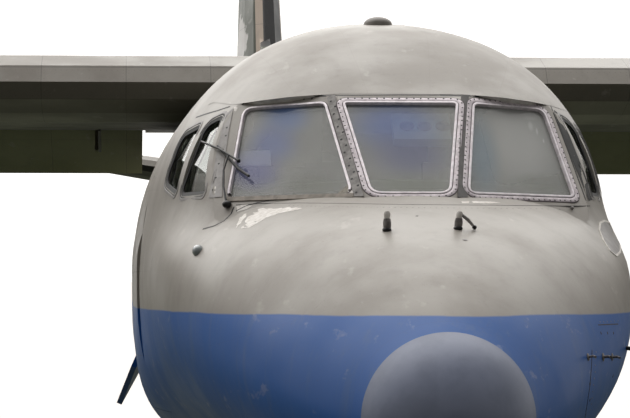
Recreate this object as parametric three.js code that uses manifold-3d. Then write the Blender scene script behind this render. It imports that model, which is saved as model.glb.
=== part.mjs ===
// A twin-engined military transport plane with a high wing and a loading ramp under its tail,
// parked on its landing gear with its flaps hanging part way down.
// Millimetres. X points to port, Y runs aft and Z up. Stations are distances aft of the nose tip.
import * as THREE from 'three';
import { mergeVertices } from 'three/addons/utils/BufferGeometryUtils.js';
import Module from 'manifold-3d';

const wasm = await Module();
wasm.setup();

// Driving dimensions
const overallLength = 23800;
const wallThickness = 90; // skin, frames and lining of a hollow body together
const seatGap = 0.3; // clearance between pieces that rest on each other
const holdFloor = 1470; // height of the cargo floor's upper face
const floorThickness = 70;
const cockpitFloor = 1750;
const noseBreak = 280; // station where the radome ends
const frontBreak = 5400; // station where the forward fuselage meets the centre fuselage
const rearBreak = 13400;
const tailBreak = 17400;
const tailEnd = 23800;
const bulkheadStation = 4430;
const cabinFront = 2450; // station where the cockpit's hollow starts
const cabinBack = 4300; // station where the pieces cut from the cabin's rear half start

// Materials
const finish = (color, roughness, metalness) =>
  new THREE.MeshStandardMaterial({ color, roughness, metalness });
const paint = (color, roughness = 0.55) => finish(color, roughness, 0.1);
const metal = (color, roughness = 0.35) => finish(color, roughness, 0.9);
const greyPaint = paint(0xb2aca6);
const finPaint = paint(0x6f7466);
const radomePaint = paint(0x6f727c, 0.6);
const glass = new THREE.MeshStandardMaterial({
  color: 0x6a7078, roughness: 0.08, metalness: 0, transparent: true, opacity: 0.35,
});
const cabinPaint = paint(0x6f7d80, 0.7);
const seatCloth = paint(0x3d4236, 0.9);
const steel = metal(0x9a9c9c);
const castAlloy = metal(0x8f9294, 0.5);
const tyreRubber = finish(0x1c1c1c, 0.9, 0);
const wheelPaint = paint(0x5f7f5a, 0.5);
const propellerPaint = paint(0x2a2c2e, 0.5);

// Solids

const vec = (x, y, z) => new THREE.Vector3(x, y, z);

// A closed three.js geometry as a solid with its faces pointing out.
function solid(geometry, matrix) {
  const bare = new THREE.BufferGeometry();
  bare.setAttribute('position', geometry.getAttribute('position').clone());
  if (geometry.index) bare.setIndex(geometry.index.clone());
  if (matrix) bare.applyMatrix4(matrix);
  const merged = mergeVertices(bare, 1e-3);
  const at = merged.attributes.position.array;
  const faces = [];
  for (let i = 0; i < merged.index.count; i += 3) {
    const [a, b, c] = [0, 1, 2].map((k) => merged.index.array[i + k]);
    if (a !== b && b !== c && c !== a) faces.push(a, b, c);
  }
  let volume = 0;
  for (let i = 0; i < faces.length; i += 3) {
    const [a, b, c] = [0, 1, 2].map((k) => vec(...at.slice(3 * faces[i + k], 3 * faces[i + k] + 3)));
    volume += a.dot(b.cross(c));
  }
  if (volume < 0) faces.reverse();
  const triVerts = new Uint32Array(faces);
  return new wasm.Manifold(new wasm.Mesh({ numProp: 3, vertProperties: at, triVerts }));
}

// A solid through rings of points that all have the same count.
function loft(rings) {
  const count = rings[0].length;
  const index = [];
  rings.slice(1).forEach((_, k) => {
    for (let j = 0; j < count; j++) {
      const a = k * count + j;
      const b = k * count + ((j + 1) % count);
      index.push(a, b, a + count, b, b + count, a + count);
    }
  });
  for (const [k, flip] of [[0, true], [rings.length - 1, false]]) {
    const flat = flatten(rings[k]);
    for (const [a, b, c] of THREE.ShapeUtils.triangulateShape(flat.points, [])) {
      const [p, q, r] = [a, b, c].map((v) => k * count + v);
      if (flip === flat.turned) index.push(p, q, r);
      else index.push(p, r, q);
    }
  }
  const geometry = new THREE.BufferGeometry().setFromPoints(rings.flat());
  geometry.setIndex(index);
  return solid(geometry);
}

// A ring's points in its own plane, and whether that plane's normal points back along the loft.
function flatten(ring) {
  const normal = vec(0, 0, 0);
  ring.forEach((p, i) => normal.add(vec(0, 0, 0).crossVectors(p, ring[(i + 1) % ring.length])));
  normal.normalize();
  const along = ring[0].clone().sub(ring[Math.floor(ring.length / 2)]).normalize();
  const across = vec(0, 0, 0).crossVectors(normal, along);
  const points = ring.map((p) => new THREE.Vector2(p.dot(along), p.dot(across)));
  return { points, turned: THREE.ShapeUtils.isClockWise(points) };
}

function box(low, high) {
  const size = high.map((v, k) => v - low[k]);
  const middle = high.map((v, k) => (v + low[k]) / 2);
  return solid(new THREE.BoxGeometry(...size), new THREE.Matrix4().makeTranslation(...middle));
}

// An outline [[a, b], ...] drawn in a frame of three axes and extruded along the third.
function extrude(outline, origin, [axisA, axisB, axisC], depth) {
  const shape = new THREE.Shape(outline.map(([a, b]) => new THREE.Vector2(a, b)));
  const geometry = new THREE.ExtrudeGeometry(shape, { depth, bevelEnabled: false });
  return solid(geometry, new THREE.Matrix4().makeBasis(axisA, axisB, axisC).setPosition(origin));
}

// A profile [[radius, height], ...] turned about an axis through a point.
function revolve(profile, origin, axis, segments = 24, phase = 0) {
  const points = profile.map(([r, h]) => new THREE.Vector2(r, h));
  const turn = new THREE.Quaternion().setFromUnitVectors(vec(0, 1, 0), axis.clone().normalize());
  const matrix = new THREE.Matrix4().makeRotationFromQuaternion(turn).setPosition(origin);
  return solid(new THREE.LatheGeometry(points, segments, phase), matrix);
}

// A round bar between two points.
function bar(from, to, radius, segments = 12) {
  const length = from.distanceTo(to);
  const profile = [[0, 0], [radius, 0], [radius, length], [0, length]];
  return revolve(profile, from, to.clone().sub(from), segments);
}

const joined = (...solids) => solids.reduce((a, b) => a.add(b));
const mirrored = (body) => body.mirror([1, 0, 0]);
// A body and its mirror image together, because its facets aren't quite alike on both sides
const evened = (body) => body.add(mirrored(body));

// Tables

// Reads a table of named columns at a station, by straight lines between its rows.
function tableRow(table, station) {
  const [names, ...rows] = table;
  let k = rows.findIndex((r) => r[0] >= station);
  if (k < 0) k = rows.length - 1;
  if (k === 0) k = 1;
  const share = (station - rows[k - 1][0]) / (rows[k][0] - rows[k - 1][0]);
  const [before, after] = [rows[k - 1], rows[k]];
  return Object.fromEntries(names.map((n, c) => [n, before[c] + share * (after[c] - before[c])]));
}

// Lower body: the full fuselage, except that ahead of the front break its top is the nose deck.
const fuselageTable = [
  ['station', 'halfWidth', 'top', 'waist', 'bottom', 'upper', 'lower'],
  [280, 409, 2059, 1650, 1241, 2.0, 2.0],
  [500, 535, 2205, 1690, 1222, 2.05, 1.95],
  [800, 692, 2360, 1760, 1212, 2.1, 1.95],
  [1200, 872, 2520, 1860, 1206, 2.15, 2.0],
  [1700, 1048, 2655, 1975, 1203, 2.25, 2.0],
  [2200, 1176, 2760, 2085, 1202, 2.35, 2.05],
  [2800, 1284, 2850, 2190, 1201, 2.5, 2.15],
  [3500, 1368, 2950, 2290, 1200, 2.6, 2.4],
  [4300, 1424, 3060, 2370, 1200, 2.4, 2.9],
  [5400, 1450, 3200, 2400, 1200, 2.0, 4.2],
];
const barrelTable = [
  ['station', 'halfWidth', 'top', 'waist', 'bottom', 'upper', 'lower'],
  [5400, 1450, 3870, 2400, 1200, 2.0, 4.2],
  [13400, 1450, 3870, 2400, 1200, 2.0, 4.4],
];
const rearTable = [
  ['station', 'halfWidth', 'top', 'waist', 'bottom', 'upper', 'lower'],
  [13400, 1450, 3870, 2400, 1200, 2.0, 4.4],
  [14000, 1443, 3870, 2420, 1255, 2.0, 4.5],
  [15000, 1405, 3865, 2520, 1480, 2.0, 4.6],
  [16000, 1335, 3855, 2680, 1740, 2.0, 4.6],
  [17000, 1225, 3840, 2850, 2010, 2.0, 4.2],
  [17400, 1170, 3833, 2910, 2118, 2.0, 3.9],
  [18500, 1000, 3800, 3050, 2400, 2.0, 3.2],
  [20000, 740, 3740, 3190, 2740, 2.0, 2.6],
  [21500, 480, 3665, 3290, 3020, 2.0, 2.2],
  [22700, 300, 3580, 3345, 3170, 2.0, 2.0],
  [23800, 110, 3450, 3362, 3275, 2.0, 2.0],
];
// Upper body of the cockpit, above the nose deck. It is cut back to the three windscreen planes.
const cockpitTable = [
  ['station', 'halfWidth', 'top', 'waist', 'upper'],
  [2000, 800, 2900, 2300, 2.8],
  [2400, 960, 3130, 2340, 2.8],
  [2800, 1080, 3320, 2370, 2.8],
  [3200, 1180, 3520, 2390, 2.7],
  [3600, 1270, 3690, 2400, 2.47],
  [4000, 1342, 3795, 2400, 2.3],
  [4500, 1402, 3850, 2400, 2.1],
  [5400, 1449.5, 3870, 2400, 2.0],
];
const cockpitFront = 2000; // station where the upper body starts, inside the nose deck
const cockpitKeel = 2000; // the upper body's flat underside, inside the lower body
const paneWallShare = 0.75; // how thick the wall is around the panes, beside the wall elsewhere

const ringPoints = 32;
function superellipse(angle, halfWidth, rise, exponent) {
  const c = Math.cos(angle);
  const s = Math.sin(angle);
  return [
    halfWidth * Math.sign(c) * Math.abs(c) ** (2 / exponent),
    rise * Math.sign(s) * Math.abs(s) ** (2 / exponent),
  ];
}
function fuselageRing(table, station, inset = 0, count = ringPoints) {
  const row = tableRow(table, station);
  return Array.from({ length: count }, (_, j) => {
    const angle = (j * 2 * Math.PI) / count;
    const up = j < count / 2;
    const rise = (up ? row.top - row.waist : row.waist - row.bottom) - inset;
    const [x, z] = superellipse(angle, row.halfWidth - inset, rise, up ? row.upper : row.lower);
    return vec(Math.abs(x) < 1e-6 ? 0 : x, station, row.waist + z);
  });
}
function cockpitRing(station, inset = 0) {
  const row = tableRow(cockpitTable, station);
  const half = ringPoints / 2;
  const arch = Array.from({ length: half + 1 }, (_, j) => {
    const angle = (j * Math.PI) / half;
    const [x, z] = superellipse(angle, row.halfWidth - inset, row.top - row.waist - inset, row.upper);
    return vec(Math.abs(x) < 1e-6 ? 0 : x, station, row.waist + z);
  });
  const foot = row.halfWidth - inset;
  return [...arch, vec(-foot, station, cockpitKeel), vec(foot, station, cockpitKeel)];
}
const stationsOf = (table, from, to) => [
  from, ...table.slice(1).map((r) => r[0]).filter((s) => s > from + 1 && s < to - 1), to,
];
const bodyLoft = (table, from, to, inset = 0) =>
  loft(stationsOf(table, from, to).map((s) => fuselageRing(table, s, inset)));

// Windscreen: three flat faces, each given by a point on it and the way it faces
const windscreenPlanes = {
  centre: { point: vec(0, 2130, 2761), normal: vec(0, -0.507, 0.6).normalize() },
  port: { point: vec(338, 2200, 2774), normal: vec(0.2287, -0.298, 0.3207).normalize() },
};
windscreenPlanes.starboard = {
  point: windscreenPlanes.port.point.clone().multiply(vec(-1, 1, 1)),
  normal: windscreenPlanes.port.normal.clone().multiply(vec(-1, 1, 1)),
};
function planeAxes({ normal }) {
  const across = vec(0, 0, 1).cross(normal).normalize();
  return [across, normal.clone().cross(across), normal];
}
function behindPlane(plane, inset) {
  const reach = 9000;
  const [a, b, n] = planeAxes(plane);
  const middle = plane.point.clone().addScaledVector(n, -inset - reach / 2);
  const matrix = new THREE.Matrix4().makeBasis(a, b, n).setPosition(middle);
  return solid(new THREE.BoxGeometry(reach, reach, reach), matrix);
}

// The nose and cockpit skin, drawn in by an inset.
function cockpitBody(inset, from = noseBreak, to = frontBreak) {
  const deck = bodyLoft(fuselageTable, from, to, inset);
  const stations = stationsOf(cockpitTable, Math.max(from, cockpitFront), to);
  let cabin = loft(stations.map((s) => cockpitRing(s, inset)));
  for (const plane of Object.values(windscreenPlanes)) {
    cabin = cabin.intersect(behindPlane(plane, inset * paneWallShare));
  }
  return deck.add(cabin);
}

// A polygon with rounded corners, from [[a, b, radius], ...]
function rounded(corners, steps = 3) {
  return corners.flatMap(([a, b, radius], i) => {
    const here = new THREE.Vector2(a, b);
    const towards = (k) => new THREE.Vector2(...corners[k % corners.length]).sub(here).normalize();
    const [before, after] = [towards(i + corners.length - 1), towards(i + 1)];
    const start = here.clone().addScaledVector(before, radius);
    const end = here.clone().addScaledVector(after, radius);
    return Array.from({ length: steps + 1 }, (_, k) => {
      const t = k / steps;
      return [
        (1 - t) ** 2 * start.x + 2 * t * (1 - t) * here.x + t * t * end.x,
        (1 - t) ** 2 * start.y + 2 * t * (1 - t) * here.y + t * t * end.y,
      ];
    });
  });
}
function shrunk(outline, margin) {
  const xs = outline.map((p) => p[0]);
  const ys = outline.map((p) => p[1]);
  const [left, right, low, high] = [Math.min(...xs), Math.max(...xs), Math.min(...ys), Math.max(...ys)];
  const mid = [(left + right) / 2, (low + high) / 2];
  const scale = 1 - (2 * margin) / Math.min(right - left, high - low);
  return outline.map(([x, y]) => [mid[0] + (x - mid[0]) * scale, mid[1] + (y - mid[1]) * scale]);
}

// Panes: corners as [x, height, corner radius]. The station follows from the plane.
const centrePane = [[-212, 2761, 70], [212, 2761, 70], [318, 3268, 35], [-318, 3268, 35]];
const sidePane = [[338, 2774, 80], [934, 2767, 80], [838, 3257, 80], [412, 3270, 40]];
const paneDepth = [12, 32]; // glass faces, measured in from the skin
const sidePaneDepth = [15, 40];
const paneFit = 0.5; // how much a pane is smaller than its opening, all round
function paneOutline(plane, corners, steps) {
  const [across, up, n] = planeAxes(plane);
  return rounded(corners.map(([x, z, radius]) => {
    const y = plane.point.y - (n.x * (x - plane.point.x) + n.z * (z - plane.point.z)) / n.y;
    const from = vec(x, y, z).sub(plane.point);
    return [from.dot(across), from.dot(up), radius];
  }), steps);
}
function paneSolid(plane, outline, near, far) {
  const axes = planeAxes(plane);
  return extrude(outline, plane.point.clone().addScaledVector(plane.normal, -far), axes, far - near);
}
const panes = {
  centre: paneOutline(windscreenPlanes.centre, centrePane),
  port: paneOutline(windscreenPlanes.port, sidePane),
};
// Side windows as [station, height, corner radius], cut straight across the body
const slidingWindow = [[2860, 2770, 50], [3350, 2770, 60], [3350, 3190, 60], [3190, 3230, 50]];
const quarterWindow = [[3450, 2780, 60], [3850, 2850, 90], [3820, 3150, 90], [3450, 3190, 60]];
function sideWindowCut(corners, margin = 0) {
  let outline = rounded(corners);
  if (margin) outline = shrunk(outline, margin);
  return extrude(outline, vec(400, 0, 0), [vec(0, 1, 0), vec(0, 0, 1), vec(1, 0, 0)], 1200);
}

// Crew door, on the starboard side behind the cockpit, and the loading ramp
const door = { from: 4560, to: 5210, bottom: 1500, top: 2930, gap: 0.5 };
const doorCut = (gap) => box(
  [-1700, door.from + gap, door.bottom + gap],
  [-900, door.to - gap, door.top - gap],
);
// The ramp turns on a long round bar at its front edge and narrows towards its free end.
const ramp = {
  hinge: [13560, 1235], to: 16940, halfWidth: [1050, 900],
  gap: 20, sideGap: 12, sill: 1460, tipThickness: 130,
};
// Nose gear bay
const noseBay = { from: 1760, to: 2960, halfWidth: 400, top: 1700 };

// The wing's chord line at the centre section
const rootWing = { lead: 7600, chord: 3500, height: 3700, thickness: 0.14, incidence: 3 };
const rootJoint = 4600; // distance out where the centre wing meets an outer wing
const wingTable = [
  ['out', 'lead', 'chord', 'height', 'thickness', 'incidence'],
  [4600, 7600, 3500, 3700, 0.14, 3],
  [14200, 9357, 1196, 3331, 0.12, 1],
  [14500, 9470, 960, 3322, 0.09, 1],
  [14600, 9640, 640, 3320, 0.04, 1],
];
const wingRow = (out) => (out < rootJoint ? { out, ...rootWing } : tableRow(wingTable, out));

// Half thickness and mean line of the aerofoil at a share of its chord
function aerofoil(share, thickness, camber = 0.02) {
  const half = 5 * thickness * (0.2969 * Math.sqrt(share) - 0.126 * share - 0.3516 * share ** 2
    + 0.2843 * share ** 3 - 0.1036 * share ** 4);
  return { half: half + 0.0012, mean: 4 * camber * share * (1 - share) };
}
const aerofoilSteps = 9;
const chordShares = Array.from(
  { length: aerofoilSteps + 1 },
  (_, k) => (1 - Math.cos((k * Math.PI) / aerofoilSteps)) / 2,
);
// Places in a section are [aft, up] from its leading edge, along and across the chord.
function sectionOutline(row, grow = 0, camber = 0.02) {
  const at = (share, side) => {
    const { half, mean } = aerofoil(share, row.thickness, camber);
    const edge = share === 0 ? -grow : share === 1 ? grow : 0;
    return [share * row.chord + edge, mean * row.chord + side * (half * row.chord + grow)];
  };
  return [
    ...chordShares.slice(1).reverse().map((c) => at(c, 1)),
    at(0, 0),
    ...chordShares.slice(1).map((c) => at(c, -1)),
  ];
}
// Carries a section's [aft, up] into the plane of the wing at a distance out.
function wingPoint(row, [aft, up]) {
  const tilt = THREE.MathUtils.degToRad(row.incidence);
  return vec(
    row.out,
    row.lead + aft * Math.cos(tilt) + up * Math.sin(tilt),
    row.height - aft * Math.sin(tilt) + up * Math.cos(tilt),
  );
}
const wingRing = (out, grow = 0) => {
  const row = wingRow(out);
  return sectionOutline(row, grow).map((p) => wingPoint(row, p));
};

// Flaps turn about a line below the wing, and their noses are arcs about that line.
// Shares of the chord: the line's place, the end of the wing's upper lip, and the front of the flap's back.
const flapPivot = { aft: 0.786, below: 0.057, lip: 0.765, back: 0.81 };
const flapGap = 20;
const flapDown = 25; // degrees at rest
function flapPlace(out) {
  const row = wingRow(out);
  const pivot = [flapPivot.aft * row.chord, -flapPivot.below * row.chord];
  const { half, mean } = aerofoil(flapPivot.back, row.thickness);
  const radius = Math.hypot(flapPivot.back * row.chord - pivot[0], (mean + half) * row.chord - pivot[1]);
  return { row, pivot, radius };
}
// The section aft of an arc, between the aerofoil's upper and lower surfaces.
function tailOutline(row, pivot, radius, camber = 0.02, steps = 6) {
  const footShareOf = () => {
    let [low, high] = [(pivot[0] - radius) / row.chord, pivot[0] / row.chord];
    for (let k = 0; k < 40; k++) {
      const middle = (low + high) / 2;
      const { half, mean } = aerofoil(middle, row.thickness, camber);
      const up = (mean - half) * row.chord;
      if (Math.hypot(middle * row.chord - pivot[0], up - pivot[1]) > radius) low = middle;
      else high = middle;
    }
    return high;
  };
  const at = (share, side) => {
    const { half, mean } = aerofoil(share, row.thickness, camber);
    return [share * row.chord, (mean + side * half) * row.chord];
  };
  const top = at(flapPivot.back, 1);
  const foot = at(footShareOf(), -1);
  const angleOf = (p) => Math.atan2(p[1] - pivot[1], p[0] - pivot[0]);
  const [fromAngle, toAngle] = [angleOf(top), angleOf(foot)];
  const arc = Array.from({ length: steps + 1 }, (_, k) => {
    const angle = fromAngle + ((toAngle + (toAngle < fromAngle ? 2 * Math.PI : 0) - fromAngle) * k) / steps;
    return [pivot[0] + radius * Math.cos(angle), pivot[1] + radius * Math.sin(angle)];
  });
  const topShare = top[0] / row.chord;
  const footShare = foot[0] / row.chord;
  const between = (share, k) => share + ((1 - share) * k) / 3;
  return [
    at(1, 1), at(between(topShare, 2), 1), at(between(topShare, 1), 1),
    ...arc,
    at(between(footShare, 1), -1), at(between(footShare, 2), -1), at(1, -1),
  ];
}
// The hollow that such a piece turns in: everything aft of a wider arc and of the wing's upper lip.
function coveOutline(row, pivot, radius, steps = 8) {
  const far = row.chord + 400;
  const high = row.chord * 0.2;
  const lip = flapPivot.lip * row.chord;
  const [highAngle, lowAngle] = [Math.acos((lip - pivot[0]) / radius), Math.PI * 1.12];
  const arc = Array.from({ length: steps + 1 }, (_, k) => {
    const angle = highAngle + ((lowAngle - highAngle) * k) / steps;
    return [pivot[0] + radius * Math.cos(angle), pivot[1] + radius * Math.sin(angle)];
  });
  return [[far, high], [lip, high], ...arc, [arc[steps][0], -high], [far, -high]];
}

// One spanwise piece hinged to the wing between two distances out, and the cove cut for it.
function hingedWingPiece(from, to, place, gap, endGap, camber) {
  const ring = (out, outline) => outline.map((p) => wingPoint(wingRow(out), p));
  const piece = loft([from, to].map((out) => {
    const { row, pivot, radius } = place(out);
    return ring(out, tailOutline(row, pivot, radius, camber));
  }));
  const cove = loft([from - endGap, to + endGap].map((out) => {
    const { row, pivot, radius } = place(out);
    return ring(out, coveOutline(row, pivot, radius + gap));
  }));
  const [start, end] = [from, to].map((out) => wingPoint(wingRow(out), place(out).pivot));
  const length = to - from;
  const stays = [0.18, 0.82].map((share) => flapStay(from + share * length, place, start, end, share));
  return {
    piece: joined(piece, ...stays.map((s) => s.arm)).subtract(joined(...stays.map((s) => s.bore))),
    brackets: joined(...stays.map((s) => s.bracket.add(s.pin))),
    cove, start, end,
  };
}
// A flap hangs on a few pins. Each stands on a bracket below the wing and runs in an arm below the flap.
const flapHanger = { eye: 42, plate: 22, gap: 6, pinRadius: 16, sides: 12, root: 0.6 };
function flapStay(out, place, start, end, share) {
  const { row, pivot } = place(out);
  const { eye, plate, gap, pinRadius, sides } = flapHanger;
  const surface = (share) => {
    const { half, mean } = aerofoil(share, row.thickness);
    return (mean - half) * row.chord;
  };
  const eyeArc = (from, to) => Array.from({ length: 4 }, (_, k) => {
    const angle = from + ((to - from) * k) / 3;
    return [pivot[0] + eye * Math.cos(angle), pivot[1] + eye * Math.sin(angle)];
  });
  const rootAft = flapHanger.root * row.chord;
  const bracketOutline = [
    [rootAft, surface(flapHanger.root) + 30], [rootAft, surface(flapHanger.root) - 10],
    ...eyeArc(Math.PI * 1.4, Math.PI * 2.4),
    [0.665 * row.chord, surface(0.665) - 16], [0.65 * row.chord, surface(0.65) + 30],
  ];
  const armOutline = [
    [pivot[0] + 150, surface(flapPivot.aft) + 40], [pivot[0] - 60, surface(flapPivot.aft) + 30],
    ...eyeArc(Math.PI, Math.PI * 2),
  ];
  const plateAt = (outline, middle) => loft([-1, 1].map((way) =>
    outline.map((p) => wingPoint({ ...wingRow(out), out: middle + (way * plate) / 2 }, p))));
  const middle = start.clone().lerp(end, share);
  const along = end.clone().sub(start).normalize();
  const apart = (plate + gap) / 2;
  const at = (distance) => middle.clone().addScaledVector(along, distance);
  const bore = (pinRadius + seatGap) / Math.cos(Math.PI / sides);
  return {
    bracket: plateAt(bracketOutline, out - apart),
    pin: bar(at(-apart), at(apart + plate / 2 + 4), pinRadius, sides),
    arm: plateAt(armOutline, out + apart),
    bore: bar(at(apart - plate), at(apart + plate), bore, sides),
  };
}
const innerFlap = hingedWingPiece(1370, 3330, flapPlace, flapGap, 25);
const outerFlap = hingedWingPiece(4680, 9280, flapPlace, flapGap, 25);

const aileronHinge = 0.73;
// A piece with a round nose about a hinge inside the section
function roundNose(row, pivot, radius, camber, steps = 6) {
  const at = (share, side) => {
    const { half, mean } = aerofoil(share, row.thickness, camber);
    return [share * row.chord, (mean + side * half) * row.chord];
  };
  const hinge = pivot[0] / row.chord;
  const arc = Array.from({ length: steps + 1 }, (_, k) => {
    const angle = Math.PI / 2 + (Math.PI * k) / steps;
    return [pivot[0] + radius * Math.cos(angle), pivot[1] + radius * Math.sin(angle)];
  });
  const between = (k) => hinge + ((1 - hinge) * k) / 3;
  return [
    at(1, 1), at(between(2), 1), at(between(1), 1),
    ...arc,
    at(between(1), -1), at(between(2), -1), at(1, -1),
  ];
}
function roundCove(row, pivot, radius, steps = 8) {
  const far = row.chord + 400;
  const high = row.chord * 0.25;
  const arc = Array.from({ length: steps + 1 }, (_, k) => {
    const angle = Math.PI / 2 + (Math.PI * k) / steps;
    return [pivot[0] + radius * Math.cos(angle), pivot[1] + radius * Math.sin(angle)];
  });
  return [[far, high], [pivot[0], high], ...arc, [pivot[0], -high], [far, -high]];
}
function hingedTail(rowAt, pointAt, from, to, hinge, gap, endGap, camber) {
  const place = (at) => {
    const row = rowAt(at);
    const { half, mean } = aerofoil(hinge, row.thickness, camber);
    return { row, pivot: [hinge * row.chord, mean * row.chord], radius: half * row.chord * 0.97 };
  };
  const ring = (at, outline) => outline.map((p) => pointAt(rowAt(at), p));
  const piece = loft([from, to].map((at) => {
    const { row, pivot, radius } = place(at);
    return ring(at, roundNose(row, pivot, radius, camber));
  }));
  const cove = loft([from - endGap, to + endGap].map((at) => {
    const { row, pivot, radius } = place(at);
    return ring(at, roundCove(row, pivot, radius + gap));
  }));
  const [start, end] = [from, to].map((at) => pointAt(rowAt(at), place(at).pivot));
  const { pins, bores } = hingePins(start, end, endGap);
  return { piece: piece.subtract(bores), cove, pins, start, end };
}
// A pin at each end of a hinge line: it stands in the fixed part and runs in a bore of the moving one.
const hingePin = { radius: 14, sides: 12, rooted: 30, engaged: 60 };
function hingePins(start, end, endGap) {
  const along = end.clone().sub(start).normalize();
  const bore = (hingePin.radius + seatGap) / Math.cos(Math.PI / hingePin.sides);
  const at = (point, way, distance) => point.clone().addScaledVector(along, way * distance);
  const ends = [[start, -1], [end, 1]];
  const { radius, sides, rooted, engaged } = hingePin;
  const pins = ends.map(([point, way]) =>
    bar(at(point, way, endGap + rooted), at(point, way, -engaged), radius, sides));
  const bores = ends.map(([point, way]) =>
    bar(at(point, way, 10), at(point, way, -engaged - 2), bore, sides));
  return { pins: joined(...pins), bores: joined(...bores) };
}
const aileron = hingedTail(wingRow, wingPoint, 9380, 14080, aileronHinge, 16, 20, 0.02);

// Wings
const wingSkin = (grow = 0) => loft([-rootJoint - grow, rootJoint + grow].map((out) => {
  const row = { ...rootWing, out };
  return sectionOutline(row, grow).map((p) => wingPoint(row, p));
}));
function centreWing() {
  const coves = evened(innerFlap.cove);
  return wingSkin().subtract(coves).add(evened(innerFlap.brackets));
}
function outerWing() {
  const outs = [rootJoint + seatGap, 14200, 14500, 14600];
  const blank = loft(outs.map((out) => wingRing(out))).subtract(outerFlap.cove).subtract(aileron.cove);
  return joined(blank, outerFlap.brackets, aileron.pins);
}

// Fuselage nodes
const radomeCentre = 1650;
const radomeBack = noseBreak - seatGap;
const radomeProfile = [
  [0, 0], [85, 10], [147, 30], [222, 70], [298, 130], [358, 200], [409, radomeBack], [0, radomeBack],
];
const radome = () => revolve(radomeProfile, vec(0, 0, radomeCentre), vec(0, 1, 0), ringPoints, Math.PI / 2);

const aboveHeight = (z) => box([-2000, -500, z], [2000, 25000, 6000]);
const betweenStations = (from, to) => box([-3000, from, 0], [3000, to, 6000]);

function forwardCavity(inset) {
  const inside = cockpitBody(inset, cabinFront, frontBreak + 1);
  const cabin = inside
    .intersect(aboveHeight(cockpitFloor))
    .intersect(betweenStations(cockpitFront, bulkheadStation));
  const hold = inside
    .intersect(aboveHeight(holdFloor - floorThickness))
    .intersect(betweenStations(bulkheadStation - 1, frontBreak + 2));
  return cabin.add(hold);
}
function forwardFuselage() {
  let body = cockpitBody(0).subtract(forwardCavity(wallThickness));
  body = body.subtract(paneSolid(windscreenPlanes.centre, panes.centre, -60, 160));
  for (const side of [1, -1]) {
    for (const cut of [
      paneSolid(windscreenPlanes.port, panes.port, -60, 160),
      sideWindowCut(slidingWindow),
      sideWindowCut(quarterWindow),
    ]) body = body.subtract(side > 0 ? cut : mirrored(cut));
  }
  const { halfWidth } = noseBay;
  body = body.subtract(box([-halfWidth, noseBay.from, 1000], [halfWidth, noseBay.to, noseBay.top]));
  return body.subtract(doorCut(0));
}
function crewDoor() {
  const inside = cockpitBody(wallThickness, cabinBack + 1, frontBreak + 1);
  const shell = cockpitBody(0, cabinBack).subtract(inside);
  return shell.intersect(doorCut(door.gap));
}
function sidePaneSolid(corners) {
  const [outer, inner] = sidePaneDepth;
  const front = cabinFront + 50;
  const band = cockpitBody(outer, front).subtract(cockpitBody(inner, front - 1, frontBreak + 1));
  return band.intersect(sideWindowCut(corners, paneFit));
}
function centreFuselage() {
  const [from, to] = [frontBreak + seatGap, rearBreak];
  const inside = bodyLoft(barrelTable, from - 1, to + 1, wallThickness);
  const hold = inside.intersect(aboveHeight(holdFloor - floorThickness));
  return bodyLoft(barrelTable, from, to).subtract(hold).subtract(wingSkin(seatGap));
}
// The wedge that holds the ramp, widened by a gap all round and with its upper face lifted
function rampWedge(gap, sideGap, lift) {
  const tip = tableRow(rearTable, ramp.to).bottom + ramp.tipThickness;
  const ends = [
    [ramp.hinge[0] - gap, ramp.halfWidth[0], ramp.sill],
    [ramp.to + gap, ramp.halfWidth[1], tip],
  ];
  return loft(ends.map(([y, halfWidth, top]) => {
    const [x, z] = [halfWidth + sideGap, top + lift];
    return [vec(-x, y, 500), vec(x, y, 500), vec(x, y, z), vec(-x, y, z)];
  }));
}
function rearFuselage() {
  const [from, to] = [rearBreak + seatGap, tailBreak];
  const inside = bodyLoft(rearTable, from - 1, to - 100, wallThickness);
  const cavity = inside.intersect(aboveHeight(holdFloor - floorThickness));
  return bodyLoft(rearTable, from, to).subtract(cavity).subtract(rampWedge(ramp.gap, ramp.sideGap, 400));
}
function loadingRamp() {
  const [y, z] = ramp.hinge;
  const reach = ramp.halfWidth[0] - 150;
  const hingeBar = bar(vec(-reach, y, z), vec(reach, y, z), ramp.gap - seatGap, 12);
  return bodyLoft(rearTable, rearBreak, tailBreak).intersect(rampWedge(0, 0, 0)).add(hingeBar);
}
const tailCone = () => bodyLoft(rearTable, tailBreak + seatGap, tailEnd);
function cargoFloor() {
  const nose = cockpitBody(wallThickness + seatGap, cabinBack);
  const front = nose.intersect(betweenStations(bulkheadStation + seatGap, frontBreak));
  const middle = bodyLoft(barrelTable, frontBreak - 1, rearBreak, wallThickness + 1);
  const rear = bodyLoft(rearTable, rearBreak - 1, ramp.hinge[0] - ramp.gap, wallThickness + 1);
  const slab = box([-1500, 4000, holdFloor - floorThickness + seatGap], [1500, 13548, holdFloor]);
  return joined(front, middle, rear).intersect(slab);
}
const bulkhead = { thickness: 60, doorHalfWidth: 320, doorHeight: 1650 };
function cockpitBulkhead() {
  const { thickness, doorHalfWidth, doorHeight } = bulkhead;
  const room = forwardCavity(wallThickness + seatGap);
  const plate = room.intersect(betweenStations(bulkheadStation - thickness, bulkheadStation));
  const doorway = box(
    [-doorHalfWidth, 4000, cockpitFloor - 10],
    [doorHalfWidth, 5000, cockpitFloor + doorHeight],
  );
  return plate.intersect(aboveHeight(cockpitFloor + seatGap)).subtract(doorway);
}

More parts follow.
